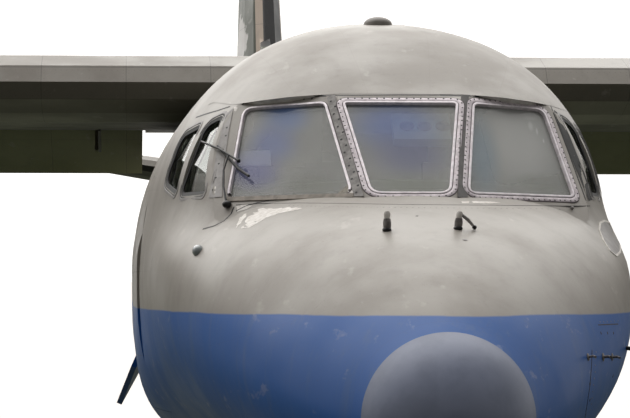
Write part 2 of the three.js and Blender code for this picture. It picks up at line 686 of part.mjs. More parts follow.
// Fin, rudder, tailplane and elevators
const finTable = [
  ['up', 'lead', 'chord', 'thickness'],
  [3300, 18000, 5150, 0.115],
  [4900, 18900, 4220, 0.115],
  [8300, 20820, 2150, 0.11],
  [8500, 21020, 1860, 0.08],
  [8575, 21300, 1400, 0.03],
];
const finPoint = (row, [aft, side]) => vec(side, row.lead + aft, row.up);
const finRow = (up) => tableRow(finTable, up);
const rudder = hingedTail(finRow, finPoint, 4260, 8200, 0.68, 20, 25, 0);
const rearBodyGrown = () => evened(bodyLoft(rearTable, rearBreak, tailEnd, -seatGap));
function finAndDorsal() {
  const blade = loft([3300, 4900, 8300, 8500, 8575].map((up) => {
    const row = finRow(up);
    return sectionOutline(row, 0, 0).map((p) => finPoint(row, p));
  }));
  const ridge = [[14600, 3700], [19400, 3700], [19400, 5150], [18900, 4900]];
  const dorsal = extrude(ridge, vec(-55, 0, 0), [vec(0, 1, 0), vec(0, 0, 1), vec(1, 0, 0)], 110);
  return blade.add(dorsal).subtract(rudder.cove).add(rudder.pins).subtract(rearBodyGrown());
}
const tailplaneTable = [
  ['out', 'lead', 'chord', 'height', 'thickness'],
  [150, 20180, 2760, 3424, 0.11],
  [4700, 21150, 1480, 4145, 0.1],
  [4930, 21300, 1180, 4181, 0.07],
  [4985, 21480, 880, 4190, 0.03],
];
const tailRow = (out) => ({ incidence: 0, ...tableRow(tailplaneTable, out) });
const elevator = hingedTail(tailRow, wingPoint, 650, 4640, 0.68, 16, 36, 0);
function tailplane() {
  const surface = loft([150, 4700, 4930, 4985].map((out) => {
    const row = tailRow(out);
    return sectionOutline(row, 0, 0).map((p) => wingPoint(row, p));
  }));
  return surface.subtract(elevator.cove).add(elevator.pins).subtract(rearBodyGrown());
}
// A strake under each side of the tail, leaning outwards and closing in towards the back.
// Its outline runs [aft, up] from its foremost point.
const strake = { start: [1400, 14300, 1500], lean: 24, toeIn: 2.5, thickness: 50 };
function ventralFin() {
  const outline = [[0, -20], [600, -420], [5300, 760], [5800, 1100], [5600, 1560], [0, 420]];
  const [lean, toeIn] = [strake.lean, strake.toeIn].map((angle) => THREE.MathUtils.degToRad(angle));
  const aft = vec(-Math.sin(toeIn), Math.cos(toeIn), 0);
  const side = vec(Math.cos(lean), 0, Math.sin(lean));
  const up = vec(0, 0, 0).crossVectors(side, aft).normalize();
  const out = vec(0, 0, 0).crossVectors(aft, up);
  return extrude(outline, vec(...strake.start), [aft, up, out], strake.thickness).subtract(rearBodyGrown());
}

// Nacelles, engines and propellers, built on the port side
const nacelleOut = 3950;
const shaftHeight = 3180;
const nacelleTable = [
  ['station', 'halfWidth', 'top', 'waist', 'bottom', 'upper', 'lower'],
  [5850, 440, 3620, 3180, 2740, 2.0, 2.0],
  [6000, 475, 3660, 3175, 2690, 2.0, 2.1],
  [6600, 530, 3720, 3150, 2560, 2.1, 2.3],
  [7600, 560, 3760, 3120, 2470, 2.2, 2.5],
  [9000, 565, 3760, 3100, 2420, 2.2, 2.6],
  [10300, 545, 3700, 3100, 2470, 2.2, 2.6],
  [11200, 455, 3560, 3130, 2680, 2.1, 2.4],
  [12200, 290, 3440, 3170, 2920, 2.0, 2.1],
];
const nacelleTail = {
  port: [12950, 40, 3260, 3220, 3180, 2, 2],
  starboard: [12600, 215, 3400, 3185, 2970, 2, 2],
};
// The oil cooler's chin below the front of a nacelle, with the round duct in it
const chinTable = [
  ['station', 'halfWidth', 'halfHeight'],
  [6050, 190, 170],
  [6300, 250, 250],
  [7400, 270, 240],
  [8200, 120, 120],
];
const chinDuct = { middle: 2640, height: 2625, radius: 120, from: 5900, to: 6350 };
const jetPipe = { height: 3185, radius: 165, from: 12300, to: 12700 };
const intakeRadius = 405;
const engineBlock = {
  halfWidth: 310, bottom: 2850, top: 3430, from: 6130, to: 8050, front: 5850, caseRadius: 300,
};
const mainDoor = { thickness: 30, bottom: 1980, top: 2900, from: 9600, to: 10920 };
const mainBay = { from: 9560, to: 10960, halfWidth: 400, top: 3050 };
function nacelle(side) {
  const table = [...nacelleTable, nacelleTail[side]];
  const outwards = vec(nacelleOut, 0, 0);
  const rings = table.slice(1).map(([at]) => fuselageRing(table, at, 0, 24).map((p) => p.add(outwards)));
  const chin = loft(chinTable.slice(1).map(([y, w, h]) =>
    Array.from({ length: 12 }, (_, j) => {
      const angle = (j * Math.PI) / 6;
      return vec(nacelleOut + w * Math.cos(angle), y, chinDuct.middle + h * Math.sin(angle));
    })));
  let body = loft(rings).add(chin).subtract(wingSkin(seatGap));
  const block = engineBlock;
  const along = (from, to, height, radius, sides = 20) =>
    bar(vec(nacelleOut, from, height), vec(nacelleOut, to, height), radius, sides);
  const duct = along(5000, block.from + 60, shaftHeight, intakeRadius);
  const well = box(
    [nacelleOut - block.halfWidth - seatGap, block.from - seatGap, block.bottom - seatGap],
    [nacelleOut + block.halfWidth + seatGap, block.to + seatGap, block.top + seatGap],
  );
  const chinHole = along(chinDuct.from, chinDuct.to, chinDuct.height, chinDuct.radius, 12);
  const bay = box(
    [nacelleOut - mainBay.halfWidth, mainBay.from, 2000],
    [nacelleOut + mainBay.halfWidth, mainBay.to, mainBay.top],
  );
  body = body.subtract(duct).subtract(well).subtract(chinHole).subtract(bay);
  for (const way of [-1, 1]) {
    const near = nacelleOut + way * mainBay.halfWidth;
    const far = near + way * mainDoor.thickness;
    body = body.add(box(
      [Math.min(near, far), mainDoor.from, mainDoor.bottom],
      [Math.max(near, far), mainDoor.to, mainDoor.top],
    ));
  }
  if (side === 'starboard') {
    body = body.subtract(along(jetPipe.from, jetPipe.to, jetPipe.height, jetPipe.radius));
  }
  return body;
}
function engine() {
  const b = engineBlock;
  const block = box([nacelleOut - b.halfWidth, b.from, b.bottom], [nacelleOut + b.halfWidth, b.to, b.top]);
  const [front, back] = [b.front, b.from + 50].map((y) => vec(nacelleOut, y, shaftHeight));
  return block.add(bar(front, back, b.caseRadius, 20));
}
const propeller = {
  blades: 4, plane: 5560, spinnerBack: 5825, shaftEnd: engineBlock.front - seatGap, restAngle: 45,
};
const bladeTable = [
  ['radius', 'chord', 'thickness', 'pitch'],
  [230, 150, 130, 62],
  [480, 300, 80, 52],
  [900, 400, 52, 40],
  [1500, 400, 34, 29],
  [1890, 350, 22, 24],
  [1950, 270, 16, 23],
];
function propellerSolid() {
  const blade = loft(bladeTable.slice(1).map(([radius, chord, thickness, pitch]) => {
    const turn = THREE.MathUtils.degToRad(pitch);
    return Array.from({ length: 8 }, (_, j) => {
      const angle = (j * 2 * Math.PI) / 8;
      const [a, b] = [(chord / 2) * Math.cos(angle), (thickness / 2) * Math.sin(angle)];
      return vec(a * Math.cos(turn) - b * Math.sin(turn), a * Math.sin(turn) + b * Math.cos(turn), radius);
    });
  }));
  const reach = propeller.spinnerBack - propeller.plane;
  const shaft = propeller.shaftEnd - propeller.plane;
  const spinner = revolve([
    [0, shaft], [90, shaft], [90, reach], [288, reach],
    [294, -40], [250, -220], [160, -370], [60, -440], [0, -450],
  ], vec(0, 0, 0), vec(0, 1, 0), 16);
  const step = 360 / propeller.blades;
  const turns = Array.from({ length: propeller.blades }, (_, k) =>
    blade.rotate([0, propeller.restAngle + step * k, 0]));
  return joined(spinner, ...turns);
}

// Wheels: a tyre and the rims of a pair on one axle, about X
const wheelSegments = 20;
const axleSides = 24;
function tyreSolid({ radius, rim, width, spread, at: middle }, side) {
  const half = width / 2;
  const at = middle.clone().add(vec(side * spread, 0, 0));
  const profile = [
    [rim, -half * 0.72], [radius * 0.85, -half], [radius, -half * 0.58],
    [radius, half * 0.58], [radius * 0.85, half], [rim, half * 0.72], [rim, -half * 0.72],
  ];
  return revolve(profile, at, vec(1, 0, 0), wheelSegments, Math.PI / wheelSegments);
}
function rimPair({ rim, width, spread, axle, at }) {
  const parts = [];
  for (const side of [-1, 1]) {
    const half = width * 0.36;
    const dish = width * 0.2;
    const r = rim - 0.5;
    parts.push(revolve(
      [[0, -half], [r, -half], [r, half], [r * 0.86, half], [r * 0.78, half - dish], [r * 0.4, half - dish],
        [r * 0.32, half * 0.9], [0, half * 0.9]],
      at.clone().add(vec(side * spread, 0, 0)), vec(side, 0, 0), wheelSegments, Math.PI / wheelSegments,
    ));
  }
  const [near, far] = [-1, 1].map((side) => at.clone().add(vec(side * spread, 0, 0)));
  return joined(...parts, bar(near, far, axle, axleSides));
}
const flatShare = Math.cos(Math.PI / wheelSegments); // a tyre stands on one flat of its outline
const noseWheel = { radius: 350, rim: 170, width: 240, spread: 215, axle: 45, station: 2740 };
noseWheel.at = vec(0, noseWheel.station, noseWheel.radius * flatShare);
const mainWheel = { radius: 525, rim: 260, width: 380, spread: 260, axle: 65, station: 10300 };
mainWheel.at = vec(nacelleOut, mainWheel.station, mainWheel.radius * flatShare);

// A hub around the axle, with the bore that the axle turns in
function axleHub(wheel, radius, halfLength) {
  const bore = (wheel.axle + seatGap) / Math.cos(Math.PI / axleSides);
  const along = vec(halfLength, 0, 0);
  const hub = bar(wheel.at.clone().sub(along), wheel.at.clone().add(along), radius, 16);
  const more = along.clone().multiplyScalar(1.5);
  return { hub, bore: bar(wheel.at.clone().sub(more), wheel.at.clone().add(more), bore, axleSides) };
}
// The nose leg's upper half meets the steered half at the split.
const steer = { station: 2650, split: 880, legTop: 1560, collar: 90, trunnion: 1500 };
function noseStrut() {
  const at = (height) => vec(0, steer.station, height);
  const leg = bar(at(steer.split), at(steer.legTop), 85, 16);
  const collar = bar(at(steer.split), at(steer.split + steer.collar), 110, 16);
  const half = noseBay.halfWidth - seatGap;
  const [left, right] = [-half, half].map((x) => vec(x, steer.station, steer.trunnion));
  const trunnion = bar(left, right, 60, 12);
  const brace = bar(vec(0, steer.station, 1050), vec(0, 1980, 1640), 38, 10);
  const lug = box([-60, 1930, 1590], [60, 2040, noseBay.top - seatGap]);
  return joined(leg, collar, trunnion, brace, lug);
}
function noseFork() {
  const { hub, bore } = axleHub(noseWheel, 75, 80);
  const at = (height) => vec(0, steer.station, height);
  const axleHeight = noseWheel.at.z;
  const top = steer.split - seatGap;
  const tube = bar(at(axleHeight), at(top), 62, 16);
  const web = box(
    [-50, steer.station - 55, axleHeight - 60],
    [50, noseWheel.station + 40, axleHeight + 90],
  );
  const head = bar(at(steer.split - steer.collar), at(top), 100, 16);
  return joined(hub, tube, web, head).subtract(bore);
}
const mainStrut = {
  cylinderFoot: 1420, pistonTop: 1500, head: 2760,
  trunnionHeight: 2680, braceFoot: 1700, braceStation: 9720,
};
function mainLeg() {
  const { hub, bore } = axleHub(mainWheel, 105, 55);
  const { cylinderFoot, pistonTop, head, trunnionHeight, braceFoot, braceStation } = mainStrut;
  const at = (height) => vec(nacelleOut, mainWheel.station, height);
  const piston = bar(mainWheel.at, at(pistonTop), 70, 12);
  const cylinder = bar(at(cylinderFoot), at(head), 105, 12);
  const half = mainBay.halfWidth - seatGap;
  const across = (station, height, radius, sides) =>
    bar(vec(nacelleOut - half, station, height), vec(nacelleOut + half, station, height), radius, sides);
  const trunnion = across(mainWheel.station, trunnionHeight, 85, 10);
  const braceTop = mainBay.top - 60;
  const braces = [-1, 1].map((side) => bar(
    vec(nacelleOut + side * 60, mainWheel.station, braceFoot),
    vec(nacelleOut + side * 230, braceStation, braceTop), 48, 8,
  ));
  const cross = across(braceStation, braceTop, 55, 8);
  const linkTop = vec(nacelleOut, mainWheel.station + 95, 1480);
  const linkKnee = vec(nacelleOut, mainWheel.station + 330, 1060);
  const linkFoot = vec(nacelleOut, mainWheel.station + 60, 640);
  const links = [bar(linkTop, linkKnee, 36, 6), bar(linkKnee, linkFoot, 36, 6)];
  return joined(hub, piston, cylinder, trunnion, ...braces, cross, ...links).subtract(bore);
}
// Each nose door hangs open beside its bay.
const noseDoor = () => box([noseBay.halfWidth + 2, 1800, 860], [noseBay.halfWidth + 24, 2920, 1300])
  .subtract(evened(bodyLoft(fuselageTable, 1500, 3400, -seatGap)));

// Cockpit furniture
const pilotOut = 480; // distance of each pilot's place from the middle
function instrumentPanel() {
  const foot = cockpitFloor + seatGap;
  const board = [[2600, foot], [2860, foot], [2860, 2150], [2790, 2560], [2590, 2640]];
  const desk = extrude(board, vec(-850, 0, 0), [vec(0, 1, 0), vec(0, 0, 1), vec(1, 0, 0)], 1700);
  const pedestal = box([-160, 2800, foot], [160, 3420, 2180]);
  const yokes = [-pilotOut, pilotOut].map((x) => {
    const column = bar(vec(x, 2980, foot + 40), vec(x, 3010, 2420), 28, 10);
    const pad = box([x - 60, 2820, foot], [x + 60, 3030, cockpitFloor + 90]);
    const wheel = box([x - 170, 2985, 2400], [x + 170, 3030, 2440]);
    const horns = [x - 170, x + 170].map((h) => box([h - 20, 2985, 2400], [h + 20, 3030, 2560]));
    return joined(column, pad, wheel, ...horns);
  });
  return joined(desk, pedestal, ...yokes);
}
function seat() {
  const x = pilotOut;
  const base = box([x - 200, 3420, cockpitFloor + seatGap], [x + 200, 3760, 2080]);
  const pan = box([x - 245, 3360, 2060], [x + 245, 3830, 2190]);
  const back = [[3760, 2150], [3880, 2150], [3990, 2980], [3900, 2990]];
  const rest = extrude(back, vec(x - 240, 0, 0), [vec(0, 1, 0), vec(0, 0, 1), vec(1, 0, 0)], 480);
  const arms = [x - 262, x + 262].map((a) => box([a - 22, 3480, 2150], [a + 22, 3830, 2330]));
  return joined(base, pan, rest, ...arms);
}

// The aircraft
const plane = new THREE.Group();
plane.position.y = -overallLength / 2;

function place(name, body, material, origin = null) {
  const { vertProperties, triVerts } = body.getMesh();
  const geometry = new THREE.BufferGeometry();
  geometry.setAttribute('position', new THREE.BufferAttribute(new Float32Array(vertProperties), 3));
  geometry.setIndex(new THREE.BufferAttribute(new Uint32Array(triVerts), 1));
  const mesh = new THREE.Mesh(geometry, material);
  mesh.name = name;
  if (origin) {
    geometry.translate(-origin.x, -origin.y, -origin.z);
    mesh.position.copy(origin);
  }
  plane.add(mesh);
  return mesh;
}
// The same piece on both sides
function placePair(name, body, material) {
  place(name + '_port', body, material);
  place(name + '_starboard', mirrored(body), material);
}

place('radome', radome(), radomePaint);
place('forward_fuselage', forwardFuselage(), greyPaint);
place('centre_fuselage', centreFuselage(), greyPaint);
place('rear_fuselage', rearFuselage(), greyPaint);
place('tail_cone', tailCone(), greyPaint);
place('cargo_floor', cargoFloor(), castAlloy);
place('cockpit_bulkhead', cockpitBulkhead(), cabinPaint);
place('instrument_panel', instrumentPanel(), cabinPaint);
placePair('pilot_seat', seat(), seatCloth);
place('crew_door', crewDoor(), greyPaint);
place('loading_ramp', loadingRamp(), greyPaint);
const glassPane = (side) => paneSolid(windscreenPlanes[side], shrunk(panes[side], paneFit), ...paneDepth);
place('windscreen_centre', glassPane('centre'), glass);
placePair('windscreen', glassPane('port'), glass);
placePair('sliding_window', sidePaneSolid(slidingWindow), glass);
placePair('quarter_window', sidePaneSolid(quarterWindow), glass);

place('centre_wing', centreWing(), greyPaint);
placePair('outer_wing', outerWing(), greyPaint);
placePair('aileron', aileron.piece, greyPaint);

// A flap is made drawn in and then let down about its own hinge line.
function placeFlap(name, flap) {
  for (const side of [1, -1]) {
    const mirror = vec(side, 1, 1);
    const [start, end] = [flap.start, flap.end].map((p) => p.clone().multiply(mirror));
    const axis = end.clone().sub(start).normalize().multiplyScalar(side);
    const body = side > 0 ? flap.piece : mirrored(flap.piece);
    const piece = place(name + (side > 0 ? '_port' : '_starboard'), body, greyPaint, start);
    piece.quaternion.setFromAxisAngle(axis, THREE.MathUtils.degToRad(-flapDown));
  }
}
placeFlap('inner_flap', innerFlap);
placeFlap('outer_flap', outerFlap);

place('nacelle_port', nacelle('port'), greyPaint);
place('nacelle_starboard', mirrored(nacelle('starboard')), greyPaint);
placePair('engine', engine(), castAlloy);
for (const side of [1, -1]) {
  const name = side > 0 ? 'propeller_port' : 'propeller_starboard';
  const spin = place(name, propellerSolid(), propellerPaint);
  spin.position.set(side * nacelleOut, propeller.plane, shaftHeight);
}

place('fin', finAndDorsal(), finPaint);
place('rudder', rudder.piece, finPaint);
placePair('tailplane', tailplane(), greyPaint);
placePair('elevator', elevator.piece, greyPaint);
placePair('ventral_fin', ventralFin(), greyPaint);

place('nose_strut', noseStrut(), steel);
place('nose_fork', noseFork(), steel);
place('nose_wheel_rims', rimPair(noseWheel), wheelPaint);
placePair('nose_tyre', tyreSolid(noseWheel, 1), tyreRubber);
placePair('nose_door', noseDoor(), greyPaint);
placePair('main_leg', mainLeg(), steel);
placePair('main_wheel_rims', rimPair(mainWheel), wheelPaint);
placePair('main_tyre_inner', tyreSolid(mainWheel, -1), tyreRubber);
placePair('main_tyre_outer', tyreSolid(mainWheel, 1), tyreRubber);

export default plane;
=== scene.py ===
# Dresses a twin-engined military transport plane: skin, glazing, cockpit, engines, propellers, gear.
# Metres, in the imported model's frame: x to port, y aft, z up. A station is a distance aft of the nose tip.
import math
import random

import bmesh
import bpy
import numpy as np
from mathutils import Matrix, Vector
from mathutils.bvhtree import BVHTree


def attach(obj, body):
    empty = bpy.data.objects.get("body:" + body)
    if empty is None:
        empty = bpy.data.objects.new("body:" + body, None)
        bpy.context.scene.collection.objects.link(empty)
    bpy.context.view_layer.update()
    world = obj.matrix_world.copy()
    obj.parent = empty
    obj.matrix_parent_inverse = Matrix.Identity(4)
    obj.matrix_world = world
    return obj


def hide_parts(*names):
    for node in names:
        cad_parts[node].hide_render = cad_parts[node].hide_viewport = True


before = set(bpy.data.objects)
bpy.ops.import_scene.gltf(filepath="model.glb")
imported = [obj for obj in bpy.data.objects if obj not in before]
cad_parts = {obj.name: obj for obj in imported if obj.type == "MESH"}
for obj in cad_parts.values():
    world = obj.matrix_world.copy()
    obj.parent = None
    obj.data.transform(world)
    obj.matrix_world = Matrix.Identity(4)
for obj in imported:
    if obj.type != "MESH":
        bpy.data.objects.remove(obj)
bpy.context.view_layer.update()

random.seed(26)
noseY = -11.9  # y of the nose tip
flanks = {"port": 1, "starboard": -1}  # each side, with the sign of its x
scene = bpy.context.scene


# Meshes

def turns(count):
    # Angles evenly round a circle
    return [2 * math.pi * k / count for k in range(count)]


def circle(middle, axis, side, radius, count):
    other = axis.cross(side)
    return [middle + (side * math.cos(a) + other * math.sin(a)) * radius for a in turns(count)]


def signedPower(value, power):
    return math.copysign(abs(value) ** power, value)


def addMesh(name, verts, faces, material=None):
    mesh = bpy.data.meshes.new(name)
    mesh.from_pydata([tuple(float(c) for c in v) for v in verts], [], faces)
    mesh.validate()
    obj = bpy.data.objects.new(name, mesh)
    scene.collection.objects.link(obj)
    if material:
        mesh.materials.append(material)
    return obj


def reshape(obj, change):
    # Changes a mesh by one function
    bm = bmesh.new()
    bm.from_mesh(obj.data)
    change(bm)
    bm.to_mesh(obj.data)
    bm.free()
    return obj


def faceOut(bm):
    bmesh.ops.recalc_face_normals(bm, faces=bm.faces)


def weld(bm, distance=1e-6):
    bmesh.ops.remove_doubles(bm, verts=bm.verts, dist=distance)
    bmesh.ops.dissolve_degenerate(bm, edges=bm.edges, dist=distance)
    faceOut(bm)


def loft(name, rings, material=None, closed=True, capped=True):
    # Rings of equal length joined by quads
    count = len(rings[0])
    verts = [p for ring in rings for p in ring]
    faces = []
    for i in range(len(rings) - 1):
        for j in range(count if closed else count - 1):
            k = (j + 1) % count
            faces.append((i * count + j, i * count + k, (i + 1) * count + k, (i + 1) * count + j))
    if capped:
        faces.append(tuple(range(count)))
        faces.append(tuple(range((len(rings) - 1) * count, len(rings) * count)))
    return reshape(addMesh(name, verts, faces, material), faceOut)


def block(name, low, high, material=None):
    x, y, z = zip(low, high)
    verts = [(a, b, c) for a in x for b in y for c in z]
    faces = [(0, 1, 3, 2), (4, 6, 7, 5), (0, 4, 5, 1), (2, 3, 7, 6), (0, 2, 6, 4), (1, 5, 7, 3)]
    return reshape(addMesh(name, verts, faces, material), faceOut)


def lathe(name, profile, origin, axis, material=None, segments=48):
    # A profile of (radius, distance) turned about an axis through origin
    least = 1e-5  # a radius of nothing would fold the ring onto one point
    axis = Vector(axis).normalized()
    side = axis.orthogonal().normalized()
    rings = [circle(Vector(origin) + axis * distance, axis, side, max(radius, least), segments)
             for radius, distance in profile]
    return loft(name, rings, material)


def rod(name, points, radius, material=None, segments=12):
    # A round bar along a path, with one radius or a list of them
    points = [Vector(p) for p in points]
    radii = radius if isinstance(radius, list) else [radius] * len(points)
    rings = []
    side = None
    for i, p in enumerate(points):
        ahead = (points[min(i + 1, len(points) - 1)] - points[max(i - 1, 0)]).normalized()
        if side is None:
            side = ahead.orthogonal()
        side = (side - ahead * side.dot(ahead)).normalized()
        rings.append(circle(p, ahead, side, radii[i], segments))
    return loft(name, rings, material)


def ball(name, centre, radius, material, segments, scale=(1, 1, 1)):
    rings = []
    for i in range(segments // 2 + 1):
        polar = math.pi * i / (segments // 2)
        units = [(math.sin(polar) * math.cos(a), math.sin(polar) * math.sin(a), math.cos(polar))
                 for a in turns(segments)]
        rings.append([[c + radius * s * u for c, s, u in zip(centre, scale, unit)] for unit in units])
    return reshape(loft(name, rings, material, capped=False), weld)


def settle(obj):
    # Applies the modifiers
    depsgraph = bpy.context.evaluated_depsgraph_get()
    old = obj.data
    obj.data = bpy.data.meshes.new_from_object(obj.evaluated_get(depsgraph))
    obj.modifiers.clear()
    bpy.data.meshes.remove(old)


def combine(base, tools, operation="DIFFERENCE"):
    for tool in tools:
        cut = base.modifiers.new("cut", "BOOLEAN")
        cut.object = tool
        cut.operation = operation
        cut.solver = "MANIFOLD"
    settle(base)
    for tool in tools:
        bpy.data.objects.remove(tool)
    return base


def join(name, objs):
    first = objs[0]
    with bpy.context.temp_override(active_object=first, object=first, selected_editable_objects=objs,
                                   selected_objects=objs):
        bpy.ops.object.join()
    first.name = name
    first.data.name = name
    return first


def mirrored(obj):
    # Moves a piece to the other side of the aircraft
    obj.data.transform(Matrix.Scale(-1, 4, Vector((1, 0, 0))))
    obj.data.flip_normals()


def crease(obj, angle, weighted):
    obj.data.polygons.foreach_set("use_smooth", [True] * len(obj.data.polygons))
    obj.data.set_sharp_from_angle(angle=math.radians(angle))
    if weighted:
        normals = obj.modifiers.new("normals", "WEIGHTED_NORMAL")
        normals.keep_sharp = True
        normals.weight = 60


def paintAll(obj, material):
    obj.data.materials.clear()
    obj.data.materials.append(material)
    obj.data.polygons.foreach_set("material_index", [0] * len(obj.data.polygons))


def finish(obj, slot="airframe_paint", body="airframe", replaces="", angle=32, weighted=False, material=None):
    if material:
        paintAll(obj, material)
    crease(obj, angle, weighted)
    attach(obj, body)
    if replaces:
        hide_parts(replaces)


# Materials

def linear(colour):
    # An sRGB hex colour as linear red, green, blue and full alpha
    values = [int(colour[i:i + 2], 16) / 255 for i in (1, 3, 5)]
    return [v / 12.92 if v <= 0.04045 else ((v + 0.055) / 1.055) ** 2.4 for v in values] + [1.0]


def addNode(tree, kind, inputs=(), output=0, **settings):
    # A node with its own settings, its inputs as values or as sockets to link. Gives one of its outputs
    node = tree.nodes.new("ShaderNode" + kind)
    for key, value in settings.items():
        setattr(node, key, value)
    for key, value in (inputs.items() if isinstance(inputs, dict) else enumerate(inputs)):
        if isinstance(value, bpy.types.NodeSocket):
            tree.links.new(value, node.inputs[key])
        else:
            node.inputs[key].default_value = value
    return node.outputs[output]


def newMaterial(name, colour, roughness, metallic=0.0, **sockets):
    material = bpy.data.materials.new(name)
    material.use_nodes = True
    shader = material.node_tree.nodes["Principled BSDF"]
    shader.inputs["Base Color"].default_value = linear(colour)
    shader.inputs["Roughness"].default_value = roughness
    shader.inputs["Metallic"].default_value = metallic
    for key, value in sockets.items():
        shader.inputs[key.replace("_", " ")].default_value = value
    return material, material.node_tree, shader


def cloudMask(tree, place, scale, low, high, stretch=(1, 1, 1), detail=4.0):
    # Soft patches from 0 to 1, about 1 / scale metres across
    spread = addNode(tree, "Mapping", {"Vector": place, "Scale": stretch})
    cloud = addNode(tree, "TexNoise", {"Vector": spread, "Scale": scale, "Detail": detail, "Roughness": 0.6})
    return addNode(tree, "MapRange", [cloud, low, high], interpolation_type="SMOOTHSTEP")


def layered(tree, shader, base, layers):
    # Coats of colour over one another, each through a mask from 0 to 1 and at a strength
    colour = linear(base)
    for mask, strength, coat in layers:
        share = addNode(tree, "Math", [mask, strength], operation="MULTIPLY")
        colour = addNode(tree, "Mix", {0: share, 6: colour, 7: linear(coat)}, 2, data_type="RGBA")
    tree.links.new(colour, shader.inputs["Base Color"])


def worked(tree, values, steps):
    # Sums on named values, one a row: result, operation and its inputs as names or numbers
    for result, operation, *inputs in steps:
        values[result] = addNode(tree, "Math", [values.get(v, v) for v in inputs], operation=operation)
    return values


# Body shape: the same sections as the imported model's, drawn with smooth curves between them.
# A row is station, half width, top, waist, bottom, and the exponents above and below the waist.
bodyShape = {
    "nose": [
        (0.28, 0.409, 2.059, 1.65, 1.241, 2.0, 2.0),
        (0.5, 0.535, 2.205, 1.69, 1.222, 2.05, 1.95),
        (0.8, 0.692, 2.36, 1.76, 1.212, 2.1, 1.95),
        (1.2, 0.872, 2.52, 1.86, 1.206, 2.15, 2.0),
        (1.7, 1.048, 2.655, 1.975, 1.203, 2.25, 2.0),
        (2.2, 1.176, 2.76, 2.085, 1.202, 2.35, 2.05),
        (2.8, 1.284, 2.85, 2.19, 1.201, 2.5, 2.15),
        (3.5, 1.368, 2.95, 2.29, 1.2, 2.6, 2.4),
        (4.3, 1.424, 3.06, 2.37, 1.2, 2.4, 2.9),
        (5.4, 1.45, 3.2, 2.4, 1.2, 2.0, 4.2),
    ],
    "hold": [
        (5.4, 1.45, 3.87, 2.4, 1.2, 2.0, 4.2),
        (13.4, 1.45, 3.87, 2.4, 1.2, 2.0, 4.4),
    ],
    "tail": [
        (13.4, 1.45, 3.87, 2.4, 1.2, 2.0, 4.4),
        (14.0, 1.443, 3.87, 2.42, 1.255, 2.0, 4.5),
        (15.0, 1.405, 3.865, 2.52, 1.48, 2.0, 4.6),
        (16.0, 1.335, 3.855, 2.68, 1.74, 2.0, 4.6),
        (17.0, 1.225, 3.84, 2.85, 2.01, 2.0, 4.2),
        (17.4, 1.17, 3.833, 2.91, 2.118, 2.0, 3.9),
        (18.5, 1.0, 3.8, 3.05, 2.4, 2.0, 3.2),
        (20.0, 0.74, 3.74, 3.19, 2.74, 2.0, 2.6),
        (21.5, 0.48, 3.665, 3.29, 3.02, 2.0, 2.2),
        (22.7, 0.3, 3.58, 3.345, 3.17, 2.0, 2.0),
        (23.8, 0.11, 3.45, 3.362, 3.275, 2.0, 2.0),
    ],
    # Upper body of the cockpit: station, half width, top, waist, exponent
    "cockpit": [
        (2.0, 0.8, 2.9, 2.3, 2.8),
        (2.4, 0.96, 3.13, 2.34, 2.8),
        (2.8, 1.08, 3.32, 2.37, 2.8),
        (3.2, 1.18, 3.52, 2.39, 2.7),
        (3.6, 1.27, 3.69, 2.4, 2.47),
        (4.0, 1.342, 3.795, 2.4, 2.3),
        (4.5, 1.402, 3.85, 2.4, 2.1),
        (5.4, 1.4495, 3.87, 2.4, 2.0),
    ],
    "nacelle": [
        (5.85, 0.440, 3.620, 3.180, 2.740, 2.0, 2.0),
        (6.0, 0.475, 3.660, 3.175, 2.690, 2.0, 2.1),
        (6.6, 0.530, 3.720, 3.150, 2.560, 2.1, 2.3),
        (7.6, 0.560, 3.760, 3.120, 2.470, 2.2, 2.5),
        (9.0, 0.565, 3.760, 3.100, 2.420, 2.2, 2.6),
        (10.3, 0.545, 3.700, 3.100, 2.470, 2.2, 2.6),
        (11.2, 0.455, 3.560, 3.130, 2.680, 2.1, 2.4),
        (12.2, 0.290, 3.440, 3.170, 2.920, 2.0, 2.1),
    ],
    "nacelleTail": {"port": (12.95, 0.04, 3.26, 3.22, 3.18, 2.0, 2.0),
                    "starboard": (12.6, 0.215, 3.4, 3.185, 2.97, 2.0, 2.0)},
    "keel": 2.0,  # flat underside of the cockpit's upper body, inside the lower body
    "wall": 0.09,  # skin, frames and lining together
    "holdBottom": 1.40,  # under the cargo floor
    "cockpitFloor": 1.75,
    "breaks": (0.28, 5.4, 13.4, 17.4, 23.8),
    "bulkhead": 4.43,
}


def smoothColumn(stations, values):
    # Monotone cubic through the rows, so that no bulge is added between them
    x = np.array(stations)
    y = np.array(values)
    step = np.diff(x)
    slope = np.diff(y) / step
    tangent = np.zeros(len(x))
    tangent[0], tangent[-1] = slope[0], slope[-1]
    for k in range(1, len(x) - 1):
        if slope[k - 1] * slope[k] > 0:
            before, after = 2 * step[k] + step[k - 1], step[k] + 2 * step[k - 1]
            tangent[k] = (before + after) / (before / slope[k - 1] + after / slope[k])

    def at(s):
        k = int(np.clip(np.searchsorted(x, s) - 1, 0, len(x) - 2))
        t = (s - x[k]) / step[k]
        rise = y[k + 1] - y[k]
        a, b = tangent[k] * step[k], tangent[k + 1] * step[k]
        return y[k] + a * t + (3 * rise - 2 * a - b) * t * t + (a + b - 2 * rise) * t ** 3
    return at


def smoothTable(rows):
    columns = list(zip(*rows))
    curves = [smoothColumn(columns[0], c) for c in columns[1:]]
    return lambda s: [curve(s) for curve in curves]


sections = {name: smoothTable(bodyShape[name]) for name in ("nose", "hold", "tail", "cockpit")}
for flank, tailRow in bodyShape["nacelleTail"].items():
    sections[f"nacelle_{flank}"] = smoothTable(bodyShape["nacelle"] + [tailRow])


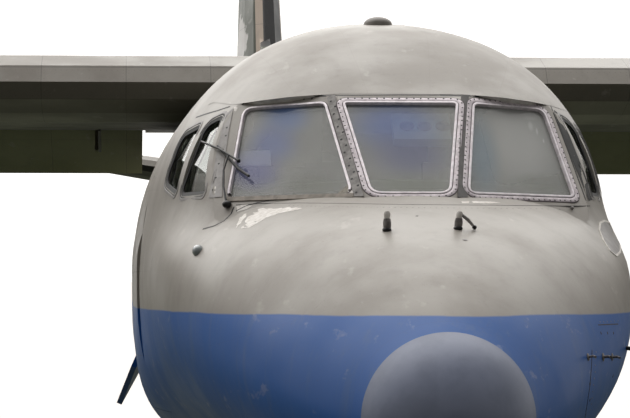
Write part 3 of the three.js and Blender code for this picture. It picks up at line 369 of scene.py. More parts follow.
def bodyRing(part, station, inset=0.0, count=96):
    halfWidth, top, waist, bottom, upper, lower = sections[part](station)
    ring = []
    for a in turns(count):
        c, s = math.cos(a), math.sin(a)
        power = 2 / (upper if s >= 0 else lower)
        rise = (top - waist if s >= 0 else waist - bottom) - inset
        ring.append(((halfWidth - inset) * signedPower(c, power), station + noseY,
                     waist + rise * signedPower(s, power)))
    return ring


def cockpitRing(station, inset=0.0, count=64):
    halfWidth, top, waist, upper = sections["cockpit"](station)
    foot, y, keel = halfWidth - inset, station + noseY, bodyShape["keel"]
    ring = []
    for k in range(count + 1):
        a = math.pi * k / count
        ring.append((foot * signedPower(math.cos(a), 2 / upper), y,
                     waist + (top - waist - inset) * abs(math.sin(a)) ** (2 / upper)))
    return ring + [(-foot, y, keel), (foot, y, keel)]


def stationsBetween(start, end, step):
    count = max(1, math.ceil((end - start) / step))
    return [start + (end - start) * k / count for k in range(count + 1)]


def bodyLoft(name, part, start, end, inset=0.0, step=0.1):
    return loft(name, [bodyRing(part, s, inset) for s in stationsBetween(start, end, step)])


def cockpitLoft(name, start, end, inset=0.0, step=0.1):
    return loft(name, [cockpitRing(s, inset) for s in stationsBetween(start, end, step)])


# Windscreen: three flat faces, each with a point on it, the way it faces, and the corners of its pane
# as x, height and radius
windscreen = {
    "centre": {"point": (0, 2.13, 2.761), "normal": (0, -0.507, 0.6),
               "corners": [(-0.212, 2.753, 0.07), (0.212, 2.753, 0.07), (0.318, 3.273, 0.035),
                           (-0.318, 3.273, 0.035)]},
    "port": {"point": (0.338, 2.2, 2.774), "normal": (0.2287, -0.298, 0.3207),
             "corners": [(0.303, 2.755, 0.075), (0.950, 2.748, 0.05), (0.842, 3.26, 0.08),
                         (0.404, 3.274, 0.04)]},
}
windscreen["starboard"] = {
    key: [(-v[0], *v[1:]) for v in value] if key == "corners" else (-value[0], *value[1:])
    for key, value in windscreen["port"].items()
}
retainer = {
    "glass": (-0.032, -0.012),  # heights of the glass's two faces over the skin
    "cut": (-0.16, 0.06),  # heights between which the opening is cut
    "lip": 0.012,  # how far the bright inner lip covers the glass
    "strip": (0.006, 0.034),  # between two distances out from the opening's edge
    "screwPitch": 0.040,
    "wallShare": 0.75,  # thickness of the wall at the panes, over the body's
}


def faceAxes(key):
    # A windscreen face's point, and its own axes across, up and out
    normal = Vector(windscreen[key]["normal"]).normalized()
    across = Vector((0, 0, 1)).cross(normal).normalized()
    point = Vector(windscreen[key]["point"]) + Vector((0, noseY, 0))
    return point, across, normal.cross(across), normal


def overFace(key, p, height):
    # The place of a point in a face's own axes, at a height over the face
    point, across, up, normal = faceAxes(key)
    return point + across * p[0] + up * p[1] + normal * height


def inFace(key, x, z):
    # The point of a face at x and a height, in the face's own axes
    point, across, up, normal = faceAxes(key)
    y = point.y - (normal.x * (x - point.x) + normal.z * (z - point.z)) / normal.y
    away = Vector((x, y, z)) - point
    return Vector((away.dot(across), away.dot(up)))


def roundedOutline(corners, steps=8):
    outline = []
    for i, (a, b, radius) in enumerate(corners):
        here = Vector((a, b))
        before = Vector(corners[i - 1][:2])
        after = Vector(corners[(i + 1) % len(corners)][:2])
        start = here + (before - here).normalized() * radius
        end = here + (after - here).normalized() * radius
        for k in range(steps + 1):
            t = k / steps
            outline.append((1 - t) ** 2 * start + 2 * t * (1 - t) * here + t * t * end)
    return outline


def paneOutline(key):
    return roundedOutline([(*inFace(key, x, z), radius) for x, z, radius in windscreen[key]["corners"]])


def offsetOutline(outline, distance):
    # Moves each point of a closed outline outwards
    ahead = outline[1:] + outline[:1]
    way = math.copysign(1, sum(p.x * after.y - after.x * p.y for p, after in zip(outline, ahead)))
    moved = []
    for before, p, after in zip(outline[-1:] + outline, outline, ahead):
        along = (after - before).normalized()
        moved.append(p + Vector((along.y, -along.x)) * distance * way)
    return moved


def evenly(outline, pitch):
    # Points at an even spacing round a closed outline
    points = outline + [outline[0]]
    lengths = [(b - a).length for a, b in zip(points, points[1:])]
    count = round(sum(lengths) / pitch)
    result = []
    for k in range(count):
        target = sum(lengths) * k / count
        i = 0
        while i < len(lengths) - 1 and target > lengths[i]:
            target -= lengths[i]
            i += 1
        result.append(points[i].lerp(points[i + 1], min(1.0, target / lengths[i])))
    return result


def prism(name, outline, key, near, far, material=None):
    # An outline in a face's own axes, between two heights over the face
    return loft(name, [[overFace(key, p, height) for p in outline] for height in (near, far)], material)


def behindFace(key, inset):
    reach = 5
    outline = [(-reach, -reach), (reach, -reach), (reach, reach), (-reach, reach)]
    return prism("behind", outline, key, -reach - inset, -inset)


print("shapes ready")


# Materials. Colours are what the photograph shows; IOR and roughness start from typical values.
paint = {
    "grey": "#9f9a93",
    "greyWorn": "#958f88",
    "blue": "#0a57a5",
    "blueWorn": "#3a6dab",
    "blueHeight": 2.13,
    "wing": "#8f8a82",
    "wingWorn": "#857f77",
    # Painted shade on the wing's downward faces, and under the flaps a painted olive tint of green light
    # thrown up from the ground
    "wingShadedUnder": "#77756b",
    "flapGroundLitUnder": "#878c5f",
    # Near black painted shade of the flap cove, and the y where it starts
    "coveShade": "#2b2b29",
    "coveShadeFront": -3.42,  # y of a third of the wing's chord
    "fin": "#565a4b",
    "finWorn": "#4b5044",
    "finPale": "#cbc8c6",
}
# Rubber boot on the fin, whose leading edge is at y = start + rake * z. Widths go aft from that edge
boot = {"rake": 0.5625, "start": 16.144 + noseY, "portSkew": -2.2, "width": 0.05, "border": 0.26,
        "ahead": -0.25, "dark": "#2d2d2f", "pale": "#cdbcac"}
# The fin's pale patch: its middle aft of the leading edge and its height, each with one over its half size
finPalePatch = {"aft": 0.85, "height": 5.0, "perWidth": 1.6, "perHeight": 3.4}


def ribSteps(axis):
    # Ribs every 0.6 m along an axis, spar joints every 0.7 m
    return [("out", "ADD", axis, 0.3), ("along", "PINGPONG", "out", 0.3), ("across", "PINGPONG", "y", 0.35),
            ("girth", "ADD", "y", 0.0), ("run", "ADD", axis, 0.0)]


def rivetSteps(row, away, beside):
    # Squared distances to rivets every 40 mm, in rows 20 mm from the joints
    off, step, square = f"off{row}", f"step{row}", f"square{row}"
    return [(off, "SUBTRACT", away, 0.02), (step, "PINGPONG", beside, 0.02), (square, "MULTIPLY", off, off),
            (f"dot{row}", "MULTIPLY_ADD", step, step, square)]


# Sheet joints and rivet rows. "along" and "across" are distances to the nearest joint,
# "girth" and "run" go along those joints.
panelSteps = {
    # Frames every 0.52 m, stringer joints every 20 degrees round a barrel of 1.45 m radius
    "body": [
        ("aft", "ADD", "y", 0.11), ("along", "PINGPONG", "aft", 0.26),
        ("rise", "SUBTRACT", "z", 2.35), ("turn", "ARCTAN2", "rise", "x"),
        ("bend", "PINGPONG", "turn", math.radians(10)), ("across", "MULTIPLY", "bend", 1.45),
        ("girth", "MULTIPLY", "turn", 1.45), ("run", "ADD", "y", 0.0),
    ],
    "wing": ribSteps("x"),
    "fin": ribSteps("z"),
    # Cowling joints every 0.84 m, and along the flank
    "nacelle": [
        ("aft", "ADD", "y", 0.16), ("along", "PINGPONG", "aft", 0.42), ("rise", "SUBTRACT", "z", 3.12),
        ("across", "PINGPONG", "rise", 0.31), ("girth", "ADD", "z", 0.0), ("run", "ADD", "y", 0.0),
    ],
}
rivetRows = rivetSteps("A", "along", "girth") + rivetSteps("B", "across", "run")
rivetRows += [("joint", "MINIMUM", "along", "across"), ("dot", "MINIMUM", "dotA", "dotB")]


def skinPaint(name, lines, upper, lower, blue=False, under=None, coveShaded=False):
    # Matt polyurethane paint on riveted aluminium sheet: it hides the metal, chalks in the sun,
    # and shows panel joints, rivet rows, rain streaks and hand-rubbed scuffs. IOR 1.43, roughness about 0.5.
    material, tree, shader = newMaterial(name, upper, 0.5, IOR=1.43)
    place = addNode(tree, "TexCoord", output="Object")
    split = addNode(tree, "SeparateXYZ", [place]).node.outputs
    blotch = cloudMask(tree, place, 1.4, 0.35, 0.65, detail=5.0)
    streak = cloudMask(tree, place, 1.0, 0.5, 0.75, (9, 9, 0.7))
    scuff = cloudMask(tree, place, 9, 0.62, 0.72, (1, 0.5, 1), 6.0)
    speck = cloudMask(tree, place, 60, 0.6, 0.72)
    values = worked(tree, {"x": split[0], "y": split[1], "z": split[2]}, panelSteps[lines] + rivetRows)
    seam = addNode(tree, "MapRange", [values["joint"], 0.0030, 0.0012])  # joints about 3 mm wide
    rivet = addNode(tree, "MapRange", [values["dot"], 1.1e-5, 4e-6])  # heads about 6 mm across
    if lines == "body":
        # The nose's own skin is smooth: filled joints and flush rivets
        filled = addNode(tree, "MapRange", [split[1], noseY + 4.1, noseY + 5.4, 0.12, 1.0])
        seam, rivet = [addNode(tree, "Math", [mask, filled], operation="MULTIPLY") for mask in (seam, rivet)]
    layers = [(blotch, 1.0, lower)]
    if blue:
        # Sky blue below a level line, with the slight waver of a masked edge
        edge = addNode(tree, "Math", [blotch, 0.006, split[2]], operation="MULTIPLY_ADD")
        below = addNode(tree, "MapRange", [edge, paint["blueHeight"] + 0.008, paint["blueHeight"]])
        worn = addNode(tree, "Math", [below, streak], operation="MULTIPLY")
        layers += [(below, 1.0, paint["blue"]), (worn, 0.3, paint["blueWorn"])]
    if under:
        # Another colour on faces that look down: painted shade, tinted by painted green light from the ground
        facing = addNode(tree, "SeparateXYZ", [addNode(tree, "TexCoord", output="Normal")], "Z")
        down = addNode(tree, "MapRange", [facing, -0.2, -0.42])
        layers.append((down, 1.0, under))
    if coveShaded:
        # Painted shade: faces that look down, aft of a third of the wing's chord, are near black for the
        # shade of the flap cove. It covers every such face of this paint aft of that line
        aft = addNode(tree, "MapRange", [split[1], paint["coveShadeFront"], paint["coveShadeFront"] + 0.02])
        layers.append((addNode(tree, "Math", [aft, down], operation="MULTIPLY"), 1.0, paint["coveShade"]))
    if lines == "fin":
        # Black rubber round the leading edge, with a pale border behind it. Both bands are skewed to reach
        # further aft on the port flank than on starboard
        worked(tree, values, [("edge", "MULTIPLY_ADD", "z", boot["rake"], boot["start"]),
                              ("back", "SUBTRACT", "y", "edge"),
                              ("skewedBack", "MULTIPLY_ADD", "x", boot["portSkew"], "back")])
        for key, width, colour in (("skewedBack", boot["width"] + boot["border"], boot["pale"]),
                                   ("skewedBack", boot["width"], boot["dark"]), ("back", boot["ahead"], upper)):
            layers.append((addNode(tree, "MapRange", [values[key], width, width - 0.004]), 1.0, colour))
        # A pale patch on its starboard flank
        worked(tree, values, [
            ("aft", "SUBTRACT", "back", finPalePatch["aft"]), ("wide", "MULTIPLY", "aft", finPalePatch["perWidth"]),
            ("high", "SUBTRACT", "z", finPalePatch["height"]),
            ("tall", "MULTIPLY", "high", finPalePatch["perHeight"]),
            ("wide2", "MULTIPLY", "wide", "wide"), ("away", "MULTIPLY_ADD", "tall", "tall", "wide2"),
            ("ragged", "MULTIPLY_ADD", blotch, 0.9, "away"), ("flank", "LESS_THAN", "x", 0.0)])
        spot = addNode(tree, "MapRange", [values["ragged"], 1.25, 1.1])
        bare = addNode(tree, "Math", [spot, values["flank"]], operation="MULTIPLY")
        layers.append((bare, 0.9, paint["finPale"]))
    layers += [(streak, 0.14, "#5a5650"), (scuff, 0.16, "#dcd8d2"), (speck, 0.16, "#4c4a46"),
               (rivet, 0.35, "#55504a"), (seam, 0.55, "#3a3632")]
    layered(tree, shader, upper, layers)
    gloss = addNode(tree, "MapRange", [blotch, 0.0, 1.0, 0.40, 0.54])
    tree.links.new(gloss, shader.inputs["Roughness"])
    # Joints sink, rivets stand up, and the sheet between frames is slightly wavy
    sheet = addNode(tree, "TexNoise", {"Vector": place, "Scale": 2.6, "Detail": 1.0})
    values.update(seam=seam, rivet=rivet, sheet=sheet)
    worked(tree, values, [("proud", "MULTIPLY", "rivet", 0.5), ("sunk", "SUBTRACT", "proud", "seam"),
                          ("relief", "MULTIPLY_ADD", "sheet", 1.6, "sunk")])
    bump = addNode(tree, "Bump", {"Strength": 0.35, "Distance": 0.002, "Height": values["relief"]})
    tree.links.new(bump, shader.inputs["Normal"])
    return material


def mottled(name, first, second, scale, roughness, metallic=0.0, bump=0.0, **sockets):
    # One finish of two close tones in cloudy patches, with an even gloss
    material, tree, shader = newMaterial(name, first, roughness, metallic, **sockets)
    place = addNode(tree, "TexCoord", output="Object")
    cloud = cloudMask(tree, place, scale, 0.36, 0.64, detail=5.0)
    layered(tree, shader, first, [(cloud, 1.0, second)])
    if bump:
        rough = addNode(tree, "Bump", {"Strength": bump, "Distance": 0.001, "Height": cloud})
        tree.links.new(rough, shader.inputs["Normal"])
    return material


def hazedGlass(name, colour, alpha, tints):
    # Stretched acrylic that has crazed and yellowed in the sun: milky, with coloured clouds. IOR 1.49.
    # Tints are round clouds: x, height, half width, half height, strength and colour
    material, tree, shader = newMaterial(name, colour, 0.16, IOR=1.49, Alpha=alpha)
    place = addNode(tree, "TexCoord", output="Object")
    layers = [(cloudMask(tree, place, 3.5, 0.35, 0.7), 0.35, "#6f716e"),
              (cloudMask(tree, place, 160, 0.45, 0.7), 0.10, "#b4b4b2")]
    for x, height, wide, tall, strength, tint in tints:
        cloud = addNode(tree, "Mapping", {"Vector": place, "Location": (-x / wide, 0, -height / tall),
                                          "Scale": (1 / wide, 0, 1 / tall)})
        away = addNode(tree, "VectorMath", [cloud], "Value", operation="LENGTH")
        near = addNode(tree, "MapRange", [away, 1.0, 0.15], interpolation_type="SMOOTHSTEP")
        layers.append((near, strength, tint))
    layered(tree, shader, colour, layers)
    return material


# Coloured clouds in the three windscreen panes
paneTints = [
    (0.62, 3.0, 0.55, 0.5, 0.3, "#c9ccc9"), (-0.04, 3.14, 0.34, 0.20, 0.95, "#5874b4"),
    (0.02, 2.98, 0.30, 0.19, 0.8, "#59618f"), (0.0, 2.80, 0.30, 0.10, 0.6, "#7f8578"),
    (-0.62, 3.20, 0.17, 0.14, 0.95, "#6481b8"), (-0.70, 3.05, 0.18, 0.16, 0.9, "#6b7cb2"),
    (-0.80, 2.90, 0.19, 0.16, 0.9, "#7377ac"), (-0.5, 2.8, 0.2, 0.09, 0.5, "#787b6c"),
    (0.66, 3.05, 0.34, 0.34, 0.85, "#cdcecb"), (-0.86, 3.16, 0.13, 0.16, 0.8, "#b3b2ae"),
    (0.42, 2.98, 0.14, 0.32, 0.75, "#8fa5b4"), (0.75, 2.82, 0.25, 0.08, 0.4, "#84897c"),
    (0.745, 3.155, 0.022, 0.04, 0.7, "#dfe2de"), (0.78, 3.125, 0.010, 0.03, 0.8, "#dfe2de"),
    (0.812, 3.07, 0.008, 0.018, 0.8, "#dfe2de"), (0.75, 3.20, 0.06, 0.016, 0.4, "#cfd2ce"),
]
bodyPaint = skinPaint("warm grey and blue matt paint", "body", paint["grey"], paint["greyWorn"], blue=True)
wingPaint = skinPaint("warm grey matt paint with painted shade underneath", "wing", paint["wing"], paint["wingWorn"],
                      under=paint["wingShadedUnder"], coveShaded=True)
nacellePaint = skinPaint("warm grey cowling paint", "nacelle", paint["wing"], paint["wingWorn"])
flapPaint = skinPaint("grey matt paint with painted olive ground light underneath", "wing", paint["wing"], paint["wingWorn"],
                      under=paint["flapGroundLitUnder"])
finPaint = skinPaint("green-grey matt paint", "fin", paint["fin"], paint["finWorn"])
# Neoprene rain-erosion paint over a fibre dome: dull and slightly soft
radomePaint = mottled("dull radome paint", "#8189a0", "#767e94", 5, 0.42, bump=0.15, IOR=1.5)
paneGlass = hazedGlass("crazed acrylic glazing", "#9a9b97", 0.5, paneTints)
sideGlass = newMaterial("side window acrylic", "#b9c4bc", 0.04, IOR=1.49, Transmission_Weight=1.0)[0]
# Thin painted steel retainer strips, rubbed bright by hands and cloths
stripPaint = mottled("rubbed light strip paint", "#d9d0d5", "#b3a9af", 30, 0.42, 0.1, bump=0.1)
lipMetal = mottled("bright strip edge", "#f0e9ee", "#d6ced4", 20, 0.35, 0.1)
plumSealant = mottled("dark plum sealant line", "#3b2f35", "#54474c", 40, 0.6)
darkPlate = mottled("dark grey sealed plate", "#4f4b4a", "#3a3736", 22, 0.5)
filletPaint = mottled("pale header sealant", "#efede8", "#dedbd4", 20, 0.6)
greyStrip = mottled("grey header strip paint", "#969290", "#827e7c", 14, 0.45)
platePaint = mottled("worn grey plate", "#86827f", "#605c59", 22, 0.5, bump=0.2)
wornStrip = mottled("worn brown-grey strip", "#8f867b", "#6f675d", 16, 0.6, bump=0.2)
# Black sealant in joints; the same black also serves as painted shade in holes and in the exhaust's mouth
sealant = mottled("black sealant and painted hole shade", "#1d1c1d", "#2a2929", 30, 0.6)
# Black window rubber; the same black is also painted shade in the port corner's recess
rubber = mottled("black window rubber and painted recess shade", "#161616", "#202021", 25, 0.65, IOR=1.52)
screwSteel = newMaterial("dark zinc screws", "#2e2d2e", 0.45, 0.7)[0]
blackMetal = mottled("black anodised rod", "#141415", "#232324", 40, 0.4, 0.3)
bareMetal = mottled("scraped bare aluminium", "#cfcac5", "#b6b0aa", 30, 0.35, 0.6)
# White primer where the paint is scraped; the same white also serves as a painted glint on the oval cover's
# rim
primerAndGlintPaint = mottled("scraped white primer and painted glint", "#e6e2dd", "#cfc9c2", 35, 0.6)
polishedDome = newMaterial("polished lamp cover", "#8f9698", 0.12, IOR=1.5, Coat_Weight=0.5)[0]
cabinPaint = mottled("dull interior paint", "#55605f", "#4a5554", 8, 0.7)
# Near white green: painted light for the daylight that shines through the visor from the side windows, over
# its own pale green
visorPlastic = mottled("pale green visor with painted light through it", "#e2f0ea", "#d2e4dc", 14, 0.3, IOR=1.49)
tealPaint = mottled("pale teal panel enamel", "#d2ecf0", "#bfe0e6", 12, 0.55)
dialBlack = newMaterial("dark blue dial faces", "#1b2440", 0.3)[0]
seatCloth = mottled("olive seat webbing", "#3a3d2d", "#2c2f23", 40, 0.9, bump=0.4)
creamCloth = mottled("beige headrest cloth", "#b8a584", "#a39272", 40, 0.9)
floorMetal = mottled("worn floor sheet", "#86878a", "#6d6e70", 6, 0.45, 0.7, bump=0.2)
engineMetal = mottled("cast engine alloy", "#6a6c70", "#54565a", 14, 0.5, 0.8, bump=0.3)
bladePaint = mottled("satin black blade enamel", "#1d1d1f", "#29292b", 10, 0.42)
tipPaint = newMaterial("yellow blade tip enamel", "#b9962f", 0.45)[0]
spinnerPaint = mottled("grey spinner enamel", "#8a8682", "#7a7672", 6, 0.4)
exhaustMetal = mottled("heat-stained exhaust steel", "#4b423c", "#2e2a28", 12, 0.5, 0.8, bump=0.3)
legPaint = mottled("gear leg grey enamel", "#a8a9a6", "#8f908d", 10, 0.4, 0.3, bump=0.1)
chromeSteel = newMaterial("hard chrome piston", "#b9bcbe", 0.12, 1.0)[0]
rimPaint = mottled("green rim enamel", "#4c5f42", "#3d4f35", 9, 0.42)
tyreRubber = mottled("worn tyre rubber", "#232324", "#2e2d2b", 18, 0.85, bump=0.3, IOR=1.52)
wellPaint = mottled("pale green primer", "#8f9a6f", "#7c8860", 6, 0.6)
print("materials ready")


# Camera at the photograph's place: a long lens 13.5 m ahead of the nose tip, a little to starboard
view = {
    "place": (-1.485, -25.4, 2.30),
    "sensor": 36.0,
    "farthest": 5000,
    "search": (13.7, 18.0, 0.1),  # distances at which an edge of the nose is looked for
    "pixels": 2983.0,  # focal length over one pixel of the 630 by 418 frame
    "centre": (128.0, 280.0),  # pixel straight ahead along +y
    "frame": (630.0, 418.0),
}
camera = bpy.data.objects.new("camera", bpy.data.cameras.new("camera"))
scene.collection.objects.link(camera)
camera.location = view["place"]
camera.data.sensor_width = view["sensor"]
camera.data.lens = view["pixels"] * view["sensor"] / view["frame"][0]
camera.data.clip_end = view["farthest"]
cameraYaw = math.atan((view["frame"][0] / 2 - view["centre"][0]) / view["pixels"])
cameraPitch = math.atan((view["centre"][1] - view["frame"][1] / 2) / view["pixels"])
camera.rotation_euler = (math.radians(90) + cameraPitch, 0, -cameraYaw)
scene.camera = camera


def pixelRay(u, v):
    x = (u - view["frame"][0] / 2) / view["pixels"]
    z = (view["frame"][1] / 2 - v) / view["pixels"]
    turn = Matrix.Rotation(-cameraYaw, 3, "Z") @ Matrix.Rotation(cameraPitch, 3, "X")
    return (turn @ Vector((x, 1, z))).normalized()


def atStation(u, v, station):
    # The point of a pixel's ray at a station
    start, ray = Vector(view["place"]), pixelRay(u, v)
    return start + ray * ((station + noseY - start.y) / ray.y)


# Fuselage

# Side windows' corners as (station, height, corner radius), cut straight across the body
sideWindows = [
    [(2.86, 2.77, 0.05), (3.35, 2.77, 0.06), (3.35, 3.19, 0.06), (3.19, 3.23, 0.05)],
    [(3.45, 2.78, 0.06), (3.85, 2.85, 0.09), (3.82, 3.15, 0.09), (3.45, 3.19, 0.06)],
]
sideCut = (0.4, 1.6)  # distances out between which they are cut
# The door is cut out of a shell that starts ahead of it
crewDoor = {"from": 4.56, "to": 5.21, "bottom": 1.5, "top": 2.93, "gap": 0.0005, "shell": 4.3,
            "near": 0.9, "far": 1.7}
noseBay = {"from": 1.76, "to": 2.96, "halfWidth": 0.4, "bottom": 1.0, "top": 1.7}
insideStart = 2.45  # of the cockpit's hollow
# The wedge that holds the ramp: station, half width, top
rampWedge = [(13.54, 1.062, 1.86), (16.96, 0.912, 2.516)]
# The inside corner between the cockpit's sides and the nose deck: how wide it is eased, how often and
# how much, how close points are merged first, and where the easing ends inwards, upwards and aft
shoulder = {"reach": 0.16, "rounds": 30, "share": 0.6, "merge": 0.008,
            "halfWidth": 0.9, "sideFade": 0.12, "height": 2.76, "topFade": 0.06, "end": 5.3}
wall = bodyShape["wall"]
radomeEnd, holdStart, holdEnd, coneStart, tailEnd = bodyShape["breaks"]
cabinStart = bodyShape["cockpit"][0][0]
skinGap = 0.0003  # between two lengths of skin
over = 0.001  # how far a cutting shape runs past its cut
farSide, farEnd, farTop = 2, 13, 6  # beyond the body on every side


def copyOf(obj):
    copy = bpy.data.objects.new(obj.name, obj.data.copy())
    scene.collection.objects.link(copy)
    return copy


def cockpitBody(name, start, end, inset=0.0, step=0.07):
    deck = bodyLoft(name, "nose", start, end, inset, step)
    cabin = cockpitLoft("cabin", max(start, cabinStart), end, inset, step)
    for key in windscreen:
        combine(cabin, [behindFace(key, inset * retainer["wallShare"])], "INTERSECT")
    return combine(deck, [cabin], "UNION")


def roomBlock(low, high):
    # A block by (x, station, z) corners
    return block("room", (low[0], low[1] + noseY, low[2]), (high[0], high[1] + noseY, high[2]))


def doorBlock(gap):
    return roomBlock((-crewDoor["far"], crewDoor["from"] + gap, crewDoor["bottom"] + gap),
                     (-crewDoor["near"], crewDoor["to"] - gap, crewDoor["top"] - gap))


def easeShoulder(bm):
    # Rounds the inside corner where the cockpit's sides run into the nose deck
    bmesh.ops.remove_doubles(bm, verts=bm.verts, dist=shoulder["merge"])
    weights = {}
    for vert in bm.verts:
        away = deckTree.find_nearest(vert.co)[3] + cabinTree.find_nearest(vert.co)[3]
        outward = min(1.0, max(0.0, (abs(vert.co.x) - shoulder["halfWidth"]) / shoulder["sideFade"]))
        low = min(1.0, max(0.0, (shoulder["height"] - vert.co.z) / shoulder["topFade"]))
        weight = max(0.0, 1 - away / shoulder["reach"]) * outward * low
        if weight > 0 and vert.co.y - noseY < shoulder["end"]:
            weights[vert] = weight
    for _ in range(shoulder["rounds"]):
        moved = {}
        for vert, weight in weights.items():
            ring = [e.other_vert(vert).co for e in vert.link_edges]
            moved[vert] = vert.co.lerp(sum(ring, Vector()) / len(ring), weight * shoulder["share"])
        for vert, place in moved.items():
            vert.co = place


def treeOf(obj):
    faces = [tuple(p.vertices) for p in obj.data.polygons]
    return BVHTree.FromPolygons([v.co.copy() for v in obj.data.vertices], faces)


forward = cockpitBody("forward_skin", radomeEnd, holdStart, step=0.045)
deck = bodyLoft("deck", "nose", radomeEnd, holdStart)
cabin = cockpitLoft("cabin", cabinStart, holdStart)
deckTree, cabinTree = treeOf(deck), treeOf(cabin)
reshape(forward, easeShoulder)
for guide in (deck, cabin):
    bpy.data.objects.remove(guide)
noseTree = treeOf(forward)  # carries the small fittings
inside = cockpitBody("inside", insideStart, holdStart + over, wall)
bulkhead = bodyShape["bulkhead"]
cabinBlock = roomBlock((-farSide, cabinStart, bodyShape["cockpitFloor"]), (farSide, bulkhead, farTop))
holdBlock = roomBlock((-farSide, bulkhead - over, bodyShape["holdBottom"]),
                      (farSide, holdStart + 2 * over, farTop))
cabinRoom = combine(copyOf(inside), [cabinBlock], "INTERSECT")
holdRoom = combine(inside, [holdBlock], "INTERSECT")
doorShell = cockpitBody("crew_door_skin", crewDoor["shell"], holdStart)
combine(doorShell, [cockpitBody("inside", crewDoor["shell"] - over, holdStart + over, wall)])
combine(doorShell, [doorBlock(crewDoor["gap"] + 0.002)], "INTERSECT")
openings = [cabinRoom, holdRoom]
for key in windscreen:
    openings.append(prism("opening", paneOutline(key), key, *retainer["cut"]))
for side in flanks.values():
    for corners in sideWindows:
        outline = [(p.x + noseY, p.y) for p in roundedOutline(corners)]
        openings.append(loft("side cut", [[(side * x, y, z) for y, z in outline] for x in sideCut]))
openings.append(roomBlock((-noseBay["halfWidth"], noseBay["from"], noseBay["bottom"]),
                          (noseBay["halfWidth"], noseBay["to"], noseBay["top"])))
openings.append(doorBlock(0))
combine(forward, openings)
finish(forward, replaces="forward_fuselage", weighted=True, material=bodyPaint)
finish(doorShell, replaces="crew_door", weighted=True, material=bodyPaint)

# The roof's front sheet laps over the windscreen's header, with a bevelled fillet under its edge.
# The edge is given as (distance out, height); rise is how much each one's lower face climbs per metre aft.
sheet = {"from": 2.55, "to": 3.62, "step": 0.05, "thickness": 0.045, "filletOut": 0.9, "filletDeep": 0.06,
         "edge": [(0.0, 3.322), (0.12, 3.322), (0.24, 3.322), (0.35, 3.322), (0.48, 3.316), (0.60, 3.309),
                  (0.75, 3.296), (0.90, 3.283), (1.3, 3.24)]}
sheetEdge = [(-x, z) for x, z in reversed(sheet["edge"][1:])] + sheet["edge"]


def headerPiece(name, proud, rise, material):
    piece = cockpitLoft(name, sheet["from"], sheet["to"], -proud, sheet["step"])
    outside = treeOf(piece)
    combine(piece, [cockpitLoft("under", sheet["from"] - over, sheet["to"] + over, sheet["thickness"],
                                sheet["step"])])
    fronts = [outside.ray_cast(Vector((x, -20, z)), Vector((0, 1, 0)))[0] for x, z in sheetEdge]
    rings = []
    for y in (2.0 + noseY, 4.0 + noseY):
        lower = [(x, y, z + rise * (y - front.y) if front else z) for (x, z), front in zip(sheetEdge, fronts)]
        rings.append(lower + [(1.3, y, 5.0), (-1.3, y, 5.0)])
    combine(piece, [loft("above", rings)], "INTERSECT")
    if rise < 0:
        out = sheet["filletOut"]
        aft = max(front.y for (x, z), front in zip(sheetEdge, fronts) if abs(x) <= out) + sheet["filletDeep"]
        combine(piece, [roomBlock((-out, 2.0, 3.0), (out, aft - noseY, 4.0))], "INTERSECT")
    finish(piece, weighted=True, material=material)


headerPiece("roof_sheet", 0.0015, 0.07, bodyPaint)
headerPiece("header_fillet", -0.001, -0.8, filletPaint)

# The radome as (radius, distance aft), drawn with rings that lie closer towards its tip
radomeShape = [(0.0, 0.0), (0.045, 0.0025), (0.085, 0.010), (0.147, 0.030), (0.222, 0.070), (0.298, 0.130),
               (0.358, 0.200), (0.409, 0.2797)]
radomeCurve = smoothColumn([p[1] for p in radomeShape], [p[0] for p in radomeShape])
radomeDepth, radomeRings, radomeHeight = radomeShape[-1][1], 24, 1.65
distances = [radomeDepth * (k / radomeRings) ** 2 for k in range(1, radomeRings + 1)]
profile = [(0.0, 0.0)] + [(radomeCurve(s), s) for s in distances] + [(0.0, radomeDepth)]
radome = lathe("radome_skin", profile, (0, noseY, radomeHeight), (0, 1, 0), radomePaint, 96)
finish(radome, "radome_paint", replaces="radome", angle=50)


def hollowSkin(name, part, start, end, roomEnd, step):
    # A length of skin with the hold cut out of it, above the hold's bottom
    skin = bodyLoft(name, part, start + skinGap, end, step=step)
    room = bodyLoft("room", part, start - over, roomEnd, wall, step)
    above = block("above", (-farSide, -farEnd, bodyShape["holdBottom"]), (farSide, farEnd, farTop))
    combine(room, [above], "INTERSECT")
    return combine(skin, [room])


barrel = hollowSkin("centre_skin", "hold", holdStart, holdEnd, holdEnd + over, 0.5)
finish(barrel, replaces="centre_fuselage", weighted=True, material=bodyPaint)
rear = hollowSkin("rear_skin", "tail", holdEnd, coneStart, coneStart - 0.1, 0.12)
wedge = [[(x, s + noseY, z) for x, z in ((-wide, 0.5), (wide, 0.5), (wide, top), (-wide, top))]
         for s, wide, top in rampWedge]
combine(rear, [loft("wedge", wedge)])
finish(rear, replaces="rear_fuselage", weighted=True, material=bodyPaint)
cone = bodyLoft("tail_cone_skin", "tail", coneStart + skinGap, tailEnd, step=0.2)
finish(cone, "tail_paint", replaces="tail_cone", weighted=True, material=bodyPaint)
print("fuselage ready")


# Small parts of the nose, placed on its skin along the photograph's pixel rays

def onSkin(u, v):
    start, ray = Vector(view["place"]), pixelRay(u, v)
    place, normal = noseTree.ray_cast(start, ray)[:2]
    if place is None:
        # Past the edge of the shape: the nearest point to the ray
        trials = [noseTree.find_nearest(start + ray * d) for d in np.arange(*view["search"])]
        place, normal = min(trials, key=lambda hit: hit[3])[:2]
    return place, normal


def offSkin(u, v, lift):
    place, normal = onSkin(u, v)
    return place + normal * lift


def denser(pixels, step=3.0, closed=False):
    points = [Vector(p) for p in pixels]
    if closed:
        points.append(points[0])
    result = []
    for a, b in zip(points, points[1:]):
        count = max(1, round((b - a).length / step))
        result += [a.lerp(b, k / count) for k in range(count)]
    return result if closed else result + [points[-1]]


def skinRow(pixels, step=3.0, closed=False):
    return [onSkin(*p) for p in denser(pixels, step, closed)]


